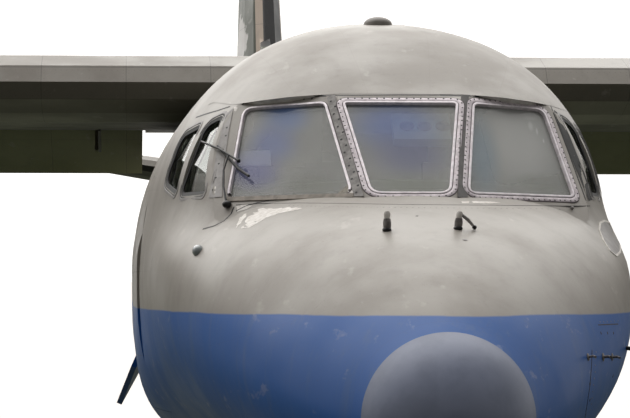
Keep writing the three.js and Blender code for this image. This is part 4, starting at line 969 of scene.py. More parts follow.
def ribbon(name, places, width, material, lift=0.001, closed=False):
    # A thin strip laid on points with their normals, its edges sunk into the skin
    sunk = 0.003
    rings = []
    for i, (p, n) in enumerate(places):
        after = places[(i + 1) % len(places)][0] if closed or i + 1 < len(places) else p
        before = places[i - 1][0] if closed or i > 0 else p
        across = n.cross(after - before).normalized() * width / 2
        (a, m), (b, n) = [noseTree.find_nearest(q)[:2] for q in (p + across, p - across)]
        rings.append([a - m * sunk, a + m * lift, b + n * lift, b - n * sunk])
    if closed:
        rings.append(rings[0])
    return loft(name, rings, material, closed=False, capped=False)


def patch(name, pixels, material, lift, ragged=0.0):
    # A flat mark of an outline on the skin, with a ragged edge
    outline = denser(pixels, 2.0, closed=True)
    middle = sum(outline, Vector((0, 0))) / len(outline)
    edge = [(p - middle) * (1 + random.uniform(-ragged, ragged)) for p in outline]
    rings = [[offSkin(*(middle + p * share), lift) for p in edge] for share in (0.02, 0.35, 0.7, 1.0)]
    return loft(name, rings, material, capped=False)


def domes(name, places, radius, height, material, segments=10):
    # Round heads, each at a point and standing along a normal
    verts, faces = [], []
    for p, n in places:
        n = Vector(n).normalized()
        side = n.orthogonal().normalized()
        base = len(verts)
        for share, up in ((1.0, -0.5), (1.0, 0.35), (0.75, 0.8)):
            verts += circle(p + n * height * up, n, side, radius * share, segments)
        verts.append(p + n * height)
        for k in range(segments):
            j = (k + 1) % segments
            for row in (base, base + segments):
                faces.append([row + k, row + j, row + segments + j, row + segments + k])
            faces.append([base + 2 * segments + k, base + 2 * segments + j, base + 3 * segments])
    return addMesh(name, verts, faces, material)


# Windscreen frames: a screwed light strip round each pane, with a bright edge and a dark sealed joint

def paneBand(key, outline, levels, material, bare=None):
    # A ring round a pane by rows of (distance out, height), less a stretch of the outline's points if bare
    rings = []
    for offset, height in levels:
        ring = [overFace(key, p, height) for p in offsetOutline(outline, offset)]
        rings.append(ring[bare[1]:] + ring[:bare[0]] if bare else ring)
    return loft("band", rings, material, closed=not bare, capped=False)


def plateOn(name, key, corners, near, far, material, **looks):
    # A flat piece parallel to a face, between two heights over it. Corners are x and height
    outline = [inFace(key, x, z) for x, z in corners]
    finish(prism(name, outline, key, near, far, material), **looks)
    return outline


lip, (near, far) = retainer["lip"], retainer["strip"]
lipRows = [(0.002, -0.002), (0.002, 0.006), (-0.002, 0.0075), (0.001 - lip, 0.0065), (-lip, 0.003),
           (-lip, -0.013)]
stripRows = [(near, -0.004), (near + 0.001, 0.0038), (near + 0.003, 0.0045), (far - 0.002, 0.0045),
             (far, 0.003), (far, -0.004)]
innerJoint = [(0.001, -0.001), (0.001, 0.0022), (near + 0.001, 0.0022), (near + 0.001, -0.001)]
outerJoint = [(far, -0.003), (far, 0.0018), (far + 0.005, 0.0016), (far + 0.006, -0.003)]
screwLine = {"inset": 0.007, "height": 0.0045, "jitter": (0.003, 0.002)}
strips, lips, joints, screws = [], [], [], []
for key in windscreen:
    outline = paneOutline(key)
    bare = key == "starboard"  # this pane has only its lip left, and a worn strip along the bottom
    pane = prism(f"{key}_pane", offsetOutline(outline, -0.001), key, *retainer["glass"], paneGlass)
    finish(pane, "window_glass", replaces=f"windscreen_{key}")
    lips.append(paneBand(key, outline, lipRows, lipMetal, (4, 14) if bare else None))
    joints.append(paneBand(key, outline, innerJoint, plumSealant))
    if bare:
        continue
    strips.append(paneBand(key, outline, stripRows, stripPaint))
    joints.append(paneBand(key, outline, outerJoint, plumSealant))
    for p in evenly(offsetOutline(outline, far - screwLine["inset"]), retainer["screwPitch"]):
        p = p + Vector([random.uniform(-jitter, jitter) for jitter in screwLine["jitter"]])
        screws.append((overFace(key, p, screwLine["height"]), faceAxes(key)[3]))
for name, pieces in (("strips", strips), ("lips", lips), ("joints", joints)):
    finish(join(f"windscreen_{name}", pieces), angle=50)
finish(domes("windscreen_screws", screws, 0.0050, 0.0018, screwSteel), angle=50)

# Posts between the panes: a wide worn plate with two columns of big screws on starboard,
# and a narrow dark sealed one on port. Then the worn strip under the starboard pane
postCorners = [(-0.250, 2.737), (-0.298, 2.737), (-0.396, 3.298), (-0.355, 3.318)]
outline = plateOn("post_plate", "starboard", postCorners, -0.003, 0.004, platePaint, angle=40)
plateOn("post_sealant", "port", [(0.244, 2.735), (0.300, 2.735), (0.386, 3.318), (0.342, 3.318)],
        -0.003, 0.0024, darkPlate, angle=40)
plateOn("worn_sill_strip", "starboard", [(-0.300, 2.733), (-0.955, 2.722), (-0.948, 2.746), (-0.300, 2.753)],
        -0.02, 0.007, wornStrip, angle=40)
studs = []
studRow = {"count": 15, "columns": (0.68, 0.30), "jitter": 0.003, "height": 0.004}
for k in range(studRow["count"]):
    up = (k + 0.6) / (studRow["count"] + 0.4)
    low, high = outline[0].lerp(outline[3], up), outline[1].lerp(outline[2], up)
    p = low.lerp(high, studRow["columns"][k % 2])
    p = p + Vector((random.uniform(-studRow["jitter"], studRow["jitter"]), 0))
    studs.append((overFace("starboard", p, studRow["height"]), faceAxes("starboard")[3]))
for u, v in [(243, 104), (261, 101.6), (270, 100.9), (286.5, 100), (295, 99.2), (304, 99), (312, 98.6)]:
    studs.append(onSkin(u, v))
finish(domes("post_plate_screws", studs, 0.0070, 0.0020, sealant), angle=50)

# Grey plate down the corner between the starboard pane and the side window, chipped to the primer
corner = [(226, 115), (233.5, 108), (229, 132), (226, 152), (223.5, 166), (222, 182), (222.5, 197),
          (209, 198), (213, 176), (218, 146)]
plateLift = 0.003
finish(patch("corner_plate", corner, greyStrip, plateLift), angle=40)
# The plate's holes are flat black discs: painted shade of their hollows
holes = [onSkin(*p) for p in [(227, 128), (226, 136), (223, 150), (219, 164), (216, 178), (213, 190)]]
finish(domes("corner_holes", [(p + n * plateLift, n) for p, n in holes], 0.0062, 0.0008, sealant))

# Dark joints: over the header from starboard to port, down the port corner, along the sill, a cable's line
# and its curve, and the nose's own seams. Each is its width and its pixels
darkSeams = [
    (0.010, [(196, 117.5), (206, 114), (218, 110.5), (230, 106.5)]),
    (0.011, [(233, 102), (250, 99.8), (275, 98), (305, 96.4), (335, 95.5), (400, 95), (440, 95.2)]),
    (0.019, [(440, 95.2), (470, 95.8), (500, 97.4), (525, 99.2), (549, 101.6)]),
    (0.008, [(549, 101.6), (557, 122), (567, 148), (577, 176), (587, 203)]),
    (0.004, [(236, 205), (260, 203.5), (300, 203), (345, 203.5), (400, 204.5), (460, 205), (520, 205.5),
             (560, 206), (590, 206)]),
    (0.006, [(236, 211), (246, 206), (258, 202.5), (270, 200.5), (279, 199.5)]),
    (0.009, [(234, 207), (231, 214), (224, 221), (214, 226), (203, 229)]),
    (0.006, [(592, 350), (591.5, 365), (590, 385), (587, 405), (585, 418)]),
    (0.005, [(598, 325), (606, 324.5), (618, 324)]),
]
finish(join("nose_seams", [ribbon("seam", skinRow(pixels), width, sealant) for width, pixels in darkSeams]))

# A flat black patch along the port corner: painted shade of the recess there, in window-rubber black
recess = [(553.5, 110), (559, 114), (569, 135), (579, 160), (588, 183), (594, 199), (588.5, 201), (581, 182),
          (571, 158), (562, 135)]
finish(patch("port_window_recess_shade", recess, rubber, 0.002))

# Rubbed and scraped patches, where the primer shows
marks = [
    ([(262, 208.5), (284, 207.6), (304, 208), (292, 211), (279, 213.5), (266, 218), (256, 224), (247, 229),
      (243, 228), (247, 219), (254, 213)], 0.14),
    ([(236, 206.5), (244, 204.5), (252, 205.5), (247, 209.5), (238, 211.5)], 0.12),
    ([(239, 219), (244, 214), (247, 215), (241, 223), (236, 228)], 0.25),
    ([(348, 191), (352, 190), (354, 194), (349, 196)], 0.2),
    ([(234, 107), (237.5, 107), (237, 111), (234, 111)], 0.2),
    ([(215, 184), (217.5, 184), (217, 189), (214.5, 189)], 0.2),
    ([(214.5, 191), (217, 191), (216.5, 194), (214, 194)], 0.2),
    ([(462, 201.6), (469, 201.4), (469, 203), (462, 203.2)], 0.2),
    ([(473, 201.4), (490, 201.6), (501, 202.6), (490, 203.4), (473, 203)], 0.15),
    ([(402, 44), (410, 43), (414, 45), (406, 46.5)], 0.2),
]
finish(join("scraped_marks", [patch("mark", pixels, primerAndGlintPaint, 0.0008, ragged) for pixels, ragged in marks]))

# Rivets along the sill, and along the nose's own joints
rivetLines = [
    ([(289, 205.6), (320, 206.4), (357, 207)], 4.5), ([(360, 207.2), (460, 208), (560, 209)], 6.0),
    ([(596, 352), (595, 372), (592, 398), (590, 416)], 6.0), ([(600, 322), (618, 321)], 4.0),
]
rivets = [place for pixels, pitch in rivetLines for place in skinRow(pixels, pitch)]
finish(domes("nose_rivets", rivets, 0.004, 0.0012, greyStrip, 8))

# Static ports and drain holes, and two small caps, mostly on the port side: pixel, radius and height. The
# ports and holes are flat black discs, a painted shade of their hollows
vents = [((601, 333), 0.008), ((607.5, 333), 0.008), ((613.5, 333), 0.008), ((590, 384), 0.011),
         ((613, 376), 0.010), ((417, 216), 0.008), ((590, 400), 0.008)]
caps = [((465, 240), 0.013, 0.004), ((572, 208), 0.010, 0.012)]
heads = {"nose_vents": (sealant, [(p, r, 0.0012) for p, r in vents]), "nose_caps": (greyStrip, caps)}
for name, (material, rows) in heads.items():
    finish(join(name, [domes("head", [onSkin(*p)], r, h, material, 16) for p, r, h in rows]))


def post(foot, top, radii, material):
    # Washer and wiper spindles are short dark posts with a pale top
    return rod("post", [foot, foot.lerp(top, 0.35), foot.lerp(top, 0.7), top], radii, material, 16)


spindles, feet = [], []
for u, low, high, lean in [(387, 230.5, 211, 0.0), (458, 229, 211, -0.10)]:
    foot, normal = onSkin(u, low)
    reach = (low - high) / view["pixels"] * (foot.y - view["place"][1])
    top = foot + Vector((-lean, -0.02, 1)).normalized() * reach
    middle = foot.lerp(top, 0.62)
    feet.append(post(foot - normal * 0.01, middle, [0.018, 0.020, 0.021, 0.017], platePaint))
    feet.append(ball("foot", foot + normal * 0.004, 0.024, blackMetal, 16, (1, 1, 0.6)))
    spindles.append(post(middle - normal * 0.002, top, [0.013, 0.017, 0.018, 0.012], primerAndGlintPaint))
armEnd = offSkin(474, 230, 0.014)
tip = atStation(462, 215, armEnd.y - noseY - 0.02)
spindles.append(rod("spindle_arm", [tip, tip.lerp(armEnd, 0.5) + Vector((0, 0, 0.006)), armEnd],
                    [0.008, 0.009, 0.006], greyStrip))
feet.append(ball("arm_end", armEnd, 0.012, blackMetal, 14))
finish(join("wiper_spindles", spindles), angle=40)
finish(join("spindle_feet", feet), angle=40)

# Starboard wiper: black rods over the pane from a ball at the lower corner.
# Each is its radius, and its points as a pixel and a height over the skin
wiperRods = [
    (0.006, [(228, 206, 0.02), (226, 190, 0.03), (226, 174, 0.03)]),
    (0.006, [(206, 144, 0.03), (222, 153, 0.035), (241, 164.5, 0.03)]),
    (0.008, [(219, 148, 0.016), (228, 158, 0.016), (240, 171, 0.016), (250, 178, 0.016)]),
    (0.005, [(226, 174, 0.03), (231, 160, 0.034)]),
]
wiper = [rod("wiper rod", [offSkin(*p) for p in points], radius, blackMetal) for radius, points in wiperRods]
wiper.append(ball("ball", offSkin(241, 164.5, 0.03), 0.012, blackMetal, 14))
wiper.append(ball("hub", offSkin(228, 206, 0.014), 0.026, blackMetal, 16, (1, 1, 0.8)))
finish(join("starboard_wiper", wiper), angle=40)

# Pitot and drain probes low on the port side: each stands off the skin and turns forward
probes = []
for u, v, size in [(588, 357, 0.014), (603, 357, 0.016), (612, 357, 0.015)]:
    place, normal = onSkin(u, v)
    probes.append(domes("boss", [(place, normal)], size * 1.3, 0.006, platePaint, 16))
    bent = place + normal * 0.034 + Vector((0, -0.03, -0.004))
    probes.append(rod("probe", [place, place + normal * 0.03, bent], size * 0.45, platePaint))
place, normal = onSkin(626, 348)
bent = place + normal * 0.055 + Vector((0, -0.09, 0))
probes.append(rod("mast", [place, place + normal * 0.05, bent], 0.011, blackMetal))
finish(join("nose_probes", probes), angle=40)

# Oval cover on the port shoulder, its raised rim painted white as a painted glint along its edge, and a
# glass-covered lamp on the starboard one
oval = [(604, 221), (610, 223), (616, 231), (620, 242), (620, 252), (616, 256), (610, 251), (603, 240),
        (599, 230), (600, 223)]
rim = ribbon("rim", skinRow(oval, 1.5, closed=True), 0.012, primerAndGlintPaint, 0.004, closed=True)
finish(join("port_oval_cover", [rim, patch("cover", oval, greyStrip, 0.0025)]))
finish(ball("starboard_lamp", onSkin(198, 251)[0], 0.045, polishedDome, 24, (0.7, 1.1, 0.75)), angle=80)

# Roof dome over the cockpit
roof = {"station": 4.2, "radius": 0.085, "height": 0.045, "foot": -0.02}
top = noseTree.ray_cast(Vector((0, roof["station"] + noseY, 6)), Vector((0, 0, -1)))[0]
arc = [math.radians(x) for x in range(0, 90, 10)]
domeShape = [(0, roof["foot"]), (roof["radius"], roof["foot"])]
domeShape += [(roof["radius"] * math.cos(a), roof["height"] * math.sin(a)) for a in arc]
domeShape.append((0, roof["height"]))
domePaint = mottled("grey dome paint", "#8b8680", "#78736e", 12, 0.5)
finish(lathe("roof_dome", domeShape, top, (0, 0, 1), domePaint, 40), angle=60)
print("windscreen and nose ready")


# Side windows: black rubber in the opening and a thin metal frame round it, by rows of (distance out, height)
windowBands = [
    ("side_window_seals", rubber, [(-0.024, -0.014), (-0.022, -0.006), (0.0, -0.001), (0.010, 0.002),
                                   (0.012, -0.004)]),
    ("side_window_frames", greyStrip, [(0.011, 0.0), (0.013, 0.003), (0.026, 0.003), (0.028, -0.003)]),
]


def sideRing(corners, side, offset, height):
    # A ring round a side window on the skin
    outline = [Vector((p.x + noseY, p.y)) for p in roundedOutline(corners)]
    ring = []
    for p in offsetOutline(outline, offset):
        place, normal = noseTree.ray_cast(Vector((3 * side, p.x, p.y)), Vector((-side, 0, 0)))[:2]
        ring.append(place + normal * height)
    return ring


for name, material, rows in windowBands:
    bands = [loft("band", [sideRing(corners, side, *row) for row in rows], material, capped=False)
             for side in flanks.values() for corners in sideWindows]
    finish(join(name, bands), angle=50)


# What shows of the cockpit through the panes
shield = {"front": 2.38, "back": 2.86, "height": 2.838, "halfWidth": 0.86, "flat": 0.28, "sweep": 0.767,
          "crown": 0.03, "thickness": 0.05, "steps": 32}
rings = []
for k in range(shield["steps"] + 1):
    x = shield["halfWidth"] * (2 * k / shield["steps"] - 1)
    front = shield["front"] + shield["sweep"] * max(0.0, abs(x) - shield["flat"])
    high = shield["height"] - shield["crown"] * (x / shield["halfWidth"]) ** 2
    back, low = shield["back"], high - shield["thickness"]
    path = [(front, low), (front, high - 0.01), (front + 0.02, high), (back - 0.02, high + 0.012),
            (back, high), (back, low)]
    rings.append([(x, s + noseY, z) for s, z in path])
glare = mottled("glare shield flock", "#6d7a68", "#5c6859", 10, 0.9)
finish(loft("glare_shield", rings, glare), "cabin_paint", angle=40)
stand = {"halfWidth": 0.7, "from": 2.62, "to": 2.84, "bottom": 2.55, "top": 2.80}
finish(block("glare_shield_stand", (-stand["halfWidth"], stand["from"] + noseY, stand["bottom"]),
             (stand["halfWidth"], stand["to"] + noseY, stand["top"]), cabinPaint), "cabin_paint")
# An instrument panel hangs behind the centre pane and a visor behind the starboard one, each parallel
# to its pane
plateOn("overhead_panel", "centre", [(-0.045, 3.118), (0.268, 3.118), (0.268, 3.267), (-0.045, 3.267)],
        -0.12, -0.07, tealPaint, slot="cabin_paint", angle=40)
plateOn("overhead_panel_hanger", "centre", [(0.02, 3.260), (0.206, 3.260), (0.206, 3.38), (0.02, 3.38)],
        -0.115, -0.09, cabinPaint, slot="cabin_paint")
dial = {"across": (0.031, 0.128, 0.228), "height": 3.190, "radius": 0.034, "rim": 0.040}
dials, bezels = [], []
facing = faceAxes("centre")[3]
for x in dial["across"]:
    middle = overFace("centre", inFace("centre", x, dial["height"]), -0.07)
    r, rim = dial["radius"], dial["rim"]
    dials.append(lathe("face", [(0, 0), (r, 0), (r, 0.003), (0, 0.003)], middle, facing, dialBlack, 32))
    bezels.append(lathe("bezel", [(r, 0), (rim, 0), (rim, 0.005), (r + 0.001, 0.007), (r, 0.003)], middle,
                        facing, platePaint, 32))
finish(join("overhead_dials", dials), "cabin_paint")
finish(join("overhead_bezels", bezels), "cabin_paint", angle=40)
flap = plateOn("sun_visor", "starboard", [(-0.728, 2.948), (-0.985, 2.948), (-0.975, 3.033), (-0.728, 3.033)],
               -0.040, -0.035, visorPlastic, slot="cabin_paint")
middle = (flap[2] + flap[3]) / 2
hang = [overFace("starboard", middle + Vector((0, up)), height)
        for up, height in ((-0.01, -0.058), (0.02, -0.088), (0.24, -0.148))]
finish(rod("sun_visor_rod", hang, 0.006, blackMetal), "cabin_paint")
plateOn("folded_cloth", "starboard", [(-0.315, 2.840), (-0.400, 2.765), (-0.315, 2.765)],
        -0.036, -0.026, creamCloth, slot="cabin_paint")


# Pilots' seats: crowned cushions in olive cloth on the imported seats' pans and backs

# How square a pad's outline is, how wide its faces are, how round its edge is, how far the edge is
# pulled in, and the share of each face that is raised, with its rise
padShape = {"square": 0.42, "face": 0.86, "edge": 0.28, "pinch": 0.30, "crown": 0.5, "rise": 1.12,
            "rows": 14, "columns": 40}


def cushion(name, centre, size, tilt):
    # A stuffed pad: full in the middle, pulled in along its piping. Size is width, depth and thickness
    rings = []
    for i in range(padShape["rows"] + 1):
        level = -math.cos(math.pi * i / padShape["rows"])
        face = padShape["face"]
        plump = face + (1 - face) * max(0.0, 1 - level * level) ** padShape["edge"]
        ring = []
        for a in turns(padShape["columns"]):
            x, y = [signedPower(way, padShape["square"]) * plump for way in (math.cos(a), math.sin(a))]
            thin = 1 - padShape["pinch"] * min(1.0, max(abs(x), abs(y)) ** 4)
            ring.append(Vector((x * size[0], y * size[1], level * size[2] * thin)) / 2)
        rings.append(ring)
    crown, rise = padShape["crown"], padShape["rise"]
    first, last = [[Vector((p.x * crown, p.y * crown, p.z * rise)) for p in rings[end]] for end in (0, -1)]
    turn = Matrix.Rotation(math.radians(tilt), 3, "X")
    rings = [[Vector(centre) + turn @ p for p in ring] for ring in [first] + rings + [last]]
    pad = loft(name, rings, seatCloth)
    finish(pad, "seat_cloth", angle=75)


seatOut = 0.48
# Name, station, height, size, tilt and fill
seatPads = [
    ("seat_cushion", 3.585, 2.245, (0.46, 0.40, 0.11), 3, 0.7),
    ("seat_back_pad", 3.765, 2.52, (0.44, 0.56, 0.10), 97, 0.6),
    ("seat_headrest", 3.855, 2.88, (0.30, 0.16, 0.09), 97, 0.7),
]
for flank, side in flanks.items():
    for name, station, height, size, tilt, fill in seatPads:
        cushion(f"{name}_{flank}", (side * seatOut, station + noseY, height), size, tilt)
print("cockpit ready")


# Engine nacelles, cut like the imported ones: intake, engine room, oil cooler's duct, wheel bay and jet pipe
nacelleOut, shaftHeight, coolerHeight = 3.95, 3.18, 2.625
chin = {"height": 2.64, "rows": [(6.05, 0.19, 0.17), (6.3, 0.25, 0.25), (7.4, 0.27, 0.24), (8.2, 0.12, 0.12)]}
chinCurve = smoothTable(chin["rows"])
engineRoom = {"from": 6.129, "to": 8.051, "halfWidth": 0.311, "bottom": 2.849, "top": 3.431}
mainBay = {"from": 9.56, "to": 10.96, "halfWidth": 0.4, "bottom": 2.0, "top": 3.05}
linerBottom, linerGap = 2.44, 0.002
# Round cuts fore and aft: first and last station, height, radius
bores = [(5.0, 6.19, shaftHeight, 0.405), (5.9, 6.35, coolerHeight, 0.12)]
jetPipe = (12.3, 12.8, 3.185, 0.165)
inletLip = [(0.405, 5.93), (0.403, 5.862), (0.409, 5.851), (0.422, 5.846), (0.434, 5.851), (0.4425, 5.862),
            (0.452, 5.90)]
coolerLip = [(0.12, 6.12), (0.118, 6.052), (0.126, 6.042), (0.136, 6.052), (0.142, 6.09)]
mainDoor = {"from": 9.6, "to": 10.92, "bottom": 1.98, "top": 2.6, "thickness": 0.03, "rounding": 0.010,
            "border": 0.06, "panel": 0.003}
exhaust = {"root": (0.50, 8.25, 2.98), "reach": (0.11, 0.34, -0.05), "radii": [0.115, 0.112, 0.108],
           "mouth": 0.09}
fan = {"station": 6.08, "thickness": 0.01, "vanes": 12, "vaneStation": 6.05, "inner": 0.1, "outer": 0.4}


def along(profile, height, material=None, segments=48):
    # A turned piece fore and aft, by radius and station
    return lathe("turned", profile, (nacelleOut, noseY, height), (0, 1, 0), material, segments)


def barCut(start, end, height, radius):
    return along([(0, start), (radius, start), (radius, end), (0, end)], height)


def nacelleRoom(room, gap=0.0):
    # A room about the nacelle's middle, smaller by a gap all round but at its foot
    out = room["halfWidth"] - gap
    return roomBlock((nacelleOut - out, room["from"] + gap, room["bottom"]),
                     (nacelleOut + out, room["to"] - gap, room["top"] - gap))


def openBelow(bm):
    # Leaves the four walls and the roof, facing inwards
    bmesh.ops.delete(bm, geom=[f for f in bm.faces if f.normal.z < -0.5], context="FACES")
    bmesh.ops.reverse_faces(bm, faces=bm.faces)


def bayDoors():
    # A rounded slab down each side of the wheel bay, with a primed panel inside
    doors = []
    for way in (-1, 1):
        near = nacelleOut + way * mainBay["halfWidth"]
        for far, border, material in ((near + way * mainDoor["thickness"], 0.0, nacellePaint),
                                      (near - way * mainDoor["panel"], mainDoor["border"], wellPaint)):
            slab = roomBlock((min(near, far), mainDoor["from"] + border, mainDoor["bottom"] + border),
                             (max(near, far), mainDoor["to"] - border, mainDoor["top"] - border))
            slab.data.materials.append(material)
            if not border:
                rounding = slab.modifiers.new("edges", "BEVEL")
                rounding.width, rounding.segments = mainDoor["rounding"], 3
                settle(slab)
            doors.append(slab)
    return doors


def nacelleShell(flank):
    tail = bodyShape["nacelleTail"][flank][0]
    rings = []
    for s in stationsBetween(bodyShape["nacelle"][0][0], tail, 0.1):
        rings.append([(x + nacelleOut, y, z) for x, y, z in bodyRing(f"nacelle_{flank}", s, count=72)])
    shell = loft("nacelle", rings)
    rings = []
    for s in stationsBetween(chin["rows"][0][0], chin["rows"][-1][0], 0.06):
        wide, tall = chinCurve(s)
        rings.append([(nacelleOut + wide * math.cos(a), s + noseY, chin["height"] + tall * math.sin(a))
                      for a in turns(48)])
    combine(shell, [loft("chin", rings)], "UNION")
    cuts = [barCut(*bore) for bore in bores] + [nacelleRoom(engineRoom), nacelleRoom(mainBay)]
    if flank == "starboard":
        cuts.append(barCut(*jetPipe))
    paintAll(combine(shell, cuts), nacellePaint)
    return shell


def fitSide(group, pieces, flank, packed, **looks):
    # Finishes one side's pieces, built to port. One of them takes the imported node's place
    for part, obj in pieces.items():
        if flank == "starboard":
            mirrored(obj)
        obj.name = f"{group}_{part}_{flank}"
        finish(obj, replaces=f"{group}_{flank}" if part == packed else "",
               weighted=part in ("skin", "doors"), **looks)


for flank in flanks:
    liner = reshape(nacelleRoom(dict(mainBay, bottom=linerBottom), linerGap), openBelow)
    liner.data.materials.append(wellPaint)
    lips = [along(inletLip, shaftHeight, bareMetal, 96), along(coolerLip, coolerHeight, bareMetal)]
    # Exhaust on the outer flank, blowing aft and a little down
    root = Vector(exhaust["root"]) + Vector((nacelleOut, noseY, 0))
    tip = root + Vector(exhaust["reach"])
    bend = root.lerp(tip, 0.5) + Vector((0.02, 0, 0))
    stub = rod("stub", [root, bend, tip], exhaust["radii"], exhaustMetal, 40)
    ends = [tip - Vector((0.02, 0.06, -0.01)), tip + Vector((0.001, 0.004, 0))]
    # A black plug at the pipe's end stands for its dark inside: soot, and painted shade of the hollow
    mouth = rod("mouth", ends, exhaust["mouth"], sealant, 40)
    front, back = fan["station"], fan["station"] + fan["thickness"]
    disc = [(fan["inner"], front), (fan["outer"], front), (fan["outer"], back), (fan["inner"], back)]
    blades = [along(disc, shaftHeight, engineMetal, 64)]
    for a in turns(fan["vanes"]):
        ends = [(nacelleOut + math.sin(a) * r, fan["vaneStation"] + noseY, shaftHeight + math.cos(a) * r)
                for r in (fan["inner"], fan["outer"])]
        blades.append(rod("vane", ends, 0.012, engineMetal, 8))
    pieces = {"skin": nacelleShell(flank), "bay": liner, "doors": join("doors", bayDoors()),
              "lips": join("lips", lips), "exhaust": join("exhaust", [stub, mouth]),
              "fan": join("fan", blades)}
    fitSide("nacelle", pieces, flank, "skin", angle=40)
print("nacelles ready")


# Propellers: a round spinner and four blades with a swept-in root cuff
propeller = {"plane": 5.56, "restAngle": 45, "blades": 4, "root": 0.23, "paintedTip": 1.80, "end": 1.948}
bladeShape = [  # radius, chord, thickness, pitch in degrees
    (0.23, 0.15, 0.13, 62), (0.48, 0.30, 0.08, 52), (0.9, 0.40, 0.052, 40), (1.5, 0.40, 0.034, 29),
    (1.89, 0.35, 0.022, 24), (1.95, 0.27, 0.016, 23),
]
bladeCurve = smoothTable(bladeShape)
roundedFrom, roundedOver = 1.9, 0.056  # where the blade's tip starts to round, and over what length
spinnerShape = [(0.0, -0.45), (0.03, -0.4485), (0.06, -0.44), (0.112, -0.41), (0.16, -0.37), (0.208, -0.31),
                (0.25, -0.22), (0.278, -0.13), (0.291, -0.04), (0.293, 0.1), (0.288, 0.265), (0.0, 0.265)]
backShape = [(0.289, 0.0), (0.2945, 0.004), (0.2945, 0.016), (0.289, 0.02)]
cuffShape, cuffRadius = [(0.098, 0), (0.098, 0.045), (0.09, 0.055), (0.0, 0.055)], 0.24
shaft = Vector((nacelleOut, propeller["plane"] + noseY, shaftHeight))


def bladeRing(r, turn):
    # The blade's section at a radius, as an ellipse set at its pitch
    chord, thickness, pitch = bladeCurve(r)
    if r > roundedFrom:
        chord *= math.sqrt(max(0.05, 1 - ((r - roundedFrom) / roundedOver) ** 2))
    pitch = math.radians(pitch)
    ring = []
    for a in turns(28):
        u, w = chord / 2 * math.cos(a), thickness / 2 * math.sin(a)
        ring.append(shaft + turn @ Vector((u * math.cos(pitch) - w * math.sin(pitch),
                                           u * math.sin(pitch) + w * math.cos(pitch), r)))
    return ring


for flank in flanks:
    spinner = lathe("spinner", spinnerShape, shaft, (0, 1, 0), spinnerPaint, 72)
    backPlate = lathe("plate", backShape, shaft, (0, 1, 0), bareMetal, 72)
    blades, tips, cuffs = [], [], []
    for k in range(propeller["blades"]):
        turn = Matrix.Rotation(math.radians(propeller["restAngle"] + 90 * k), 3, "Y")
        for group, start, stop, material in ((blades, propeller["root"], propeller["paintedTip"], bladePaint),
                                             (tips, propeller["paintedTip"], propeller["end"], tipPaint)):
            rings = [bladeRing(r, turn) for r in stationsBetween(start, stop, 0.03)]
            group.append(loft("blade", rings, material))
        away = turn @ Vector((0, 0, 1))
        cuffs.append(lathe("cuff", cuffShape, shaft + away * cuffRadius, away, bareMetal, 40))
    pieces = {"spinner": join("spinner", [spinner, backPlate]), "blades": join("blades", blades + tips),
              "cuffs": join("cuffs", cuffs)}
    fitSide("propeller", pieces, flank, "blades", slot="propeller_paint", body=f"propeller_{flank}", angle=50)
print("propellers ready")


# Wheels: round grooved tyres on dished rims with bolts and a hub cap
flatShare = math.cos(math.pi / 20)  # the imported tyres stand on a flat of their 20 sides
wheelSizes = {
    "nose": {"radius": 0.35 * flatShare, "rim": 0.17, "width": 0.24, "spread": 0.215, "station": 2.74,
             "out": 0.0, "axle": 0.045},
    "main": {"radius": 0.525 * flatShare, "rim": 0.26, "width": 0.38, "spread": 0.26, "station": 10.3,
             "out": nacelleOut, "axle": 0.065},
}
# A tyre's flank, as shares of its height over the rim and of its half width; then its tread grooves
tyreFlank = [(0.0, 0.72), (0.06, 0.80), (0.25, 0.93), (0.45, 0.985), (0.62, 0.965), (0.80, 0.86),
             (0.92, 0.72), (0.985, 0.56)]
grooves = {"across": (-0.42, -0.14, 0.14, 0.42), "edge": 0.03, "foot": 0.024, "deep": 0.03}


def tyreProfile(wheel):
    radius, rim, half = wheel["radius"], wheel["rim"], wheel["width"] / 2
    tall = radius - rim
    flank = [(rim + tall * up, half * out) for up, out in tyreFlank]
    profile = [(r, -out) for r, out in flank]
    for middle in grooves["across"]:
        for shift, deep in ((-grooves["edge"], 0.0), (-grooves["foot"], grooves["deep"]),
                            (grooves["foot"], grooves["deep"]), (grooves["edge"], 0.0)):
            profile.append((radius - tall * deep, half * (middle + shift)))
    profile += reversed(flank)
    return profile + [profile[0]]


def wheelParts(wheel, side):
    # A tyre, and a rim whose dish faces outwards
    at = Vector((wheel["out"] + side * wheel["spread"], wheel["station"] + noseY, wheel["radius"]))
    rim, away = wheel["rim"], Vector((side, 0, 0))
    half, face = wheel["width"] * 0.36, wheel["width"] * 0.16
    tyre = lathe("tyre", tyreProfile(wheel), at, away, tyreRubber, 96)
    rimShape = [(0.0, -half), (rim * 0.9, -half), (rim + 0.004, -half), (rim + 0.004, half - 0.006),
                (rim - 0.002, half), (rim * 0.93, half + 0.002), (rim * 0.88, half - 0.008),
                (rim * 0.80, face + 0.012), (rim * 0.72, face), (rim * 0.46, face - 0.006),
                (rim * 0.40, face + 0.004), (rim * 0.34, half * 0.72), (rim * 0.30, half * 0.88),
                (rim * 0.12, half * 0.9), (0.0, half * 0.9)]
    dish = lathe("rim", rimShape, at, away, rimPaint, 96)
    circles = []
    for share, level, offset in ((0.52, face - 0.004, 0.0), (0.64, face - 0.001, math.pi / 10)):
        spokes = [Vector((0, math.cos(a + offset), math.sin(a + offset))) for a in turns(10)]
        circles.append([(at + spoke * rim * share + away * level, away) for spoke in spokes])
    bolts = domes("bolts", circles[0], rim * 0.045, 0.010, bareMetal, 6)
    # The rim's holes are flat black discs: painted shade of their hollows
    return tyre, [dish, bolts, domes("holes", circles[1], rim * 0.06, 0.0015, sealant, 14)]


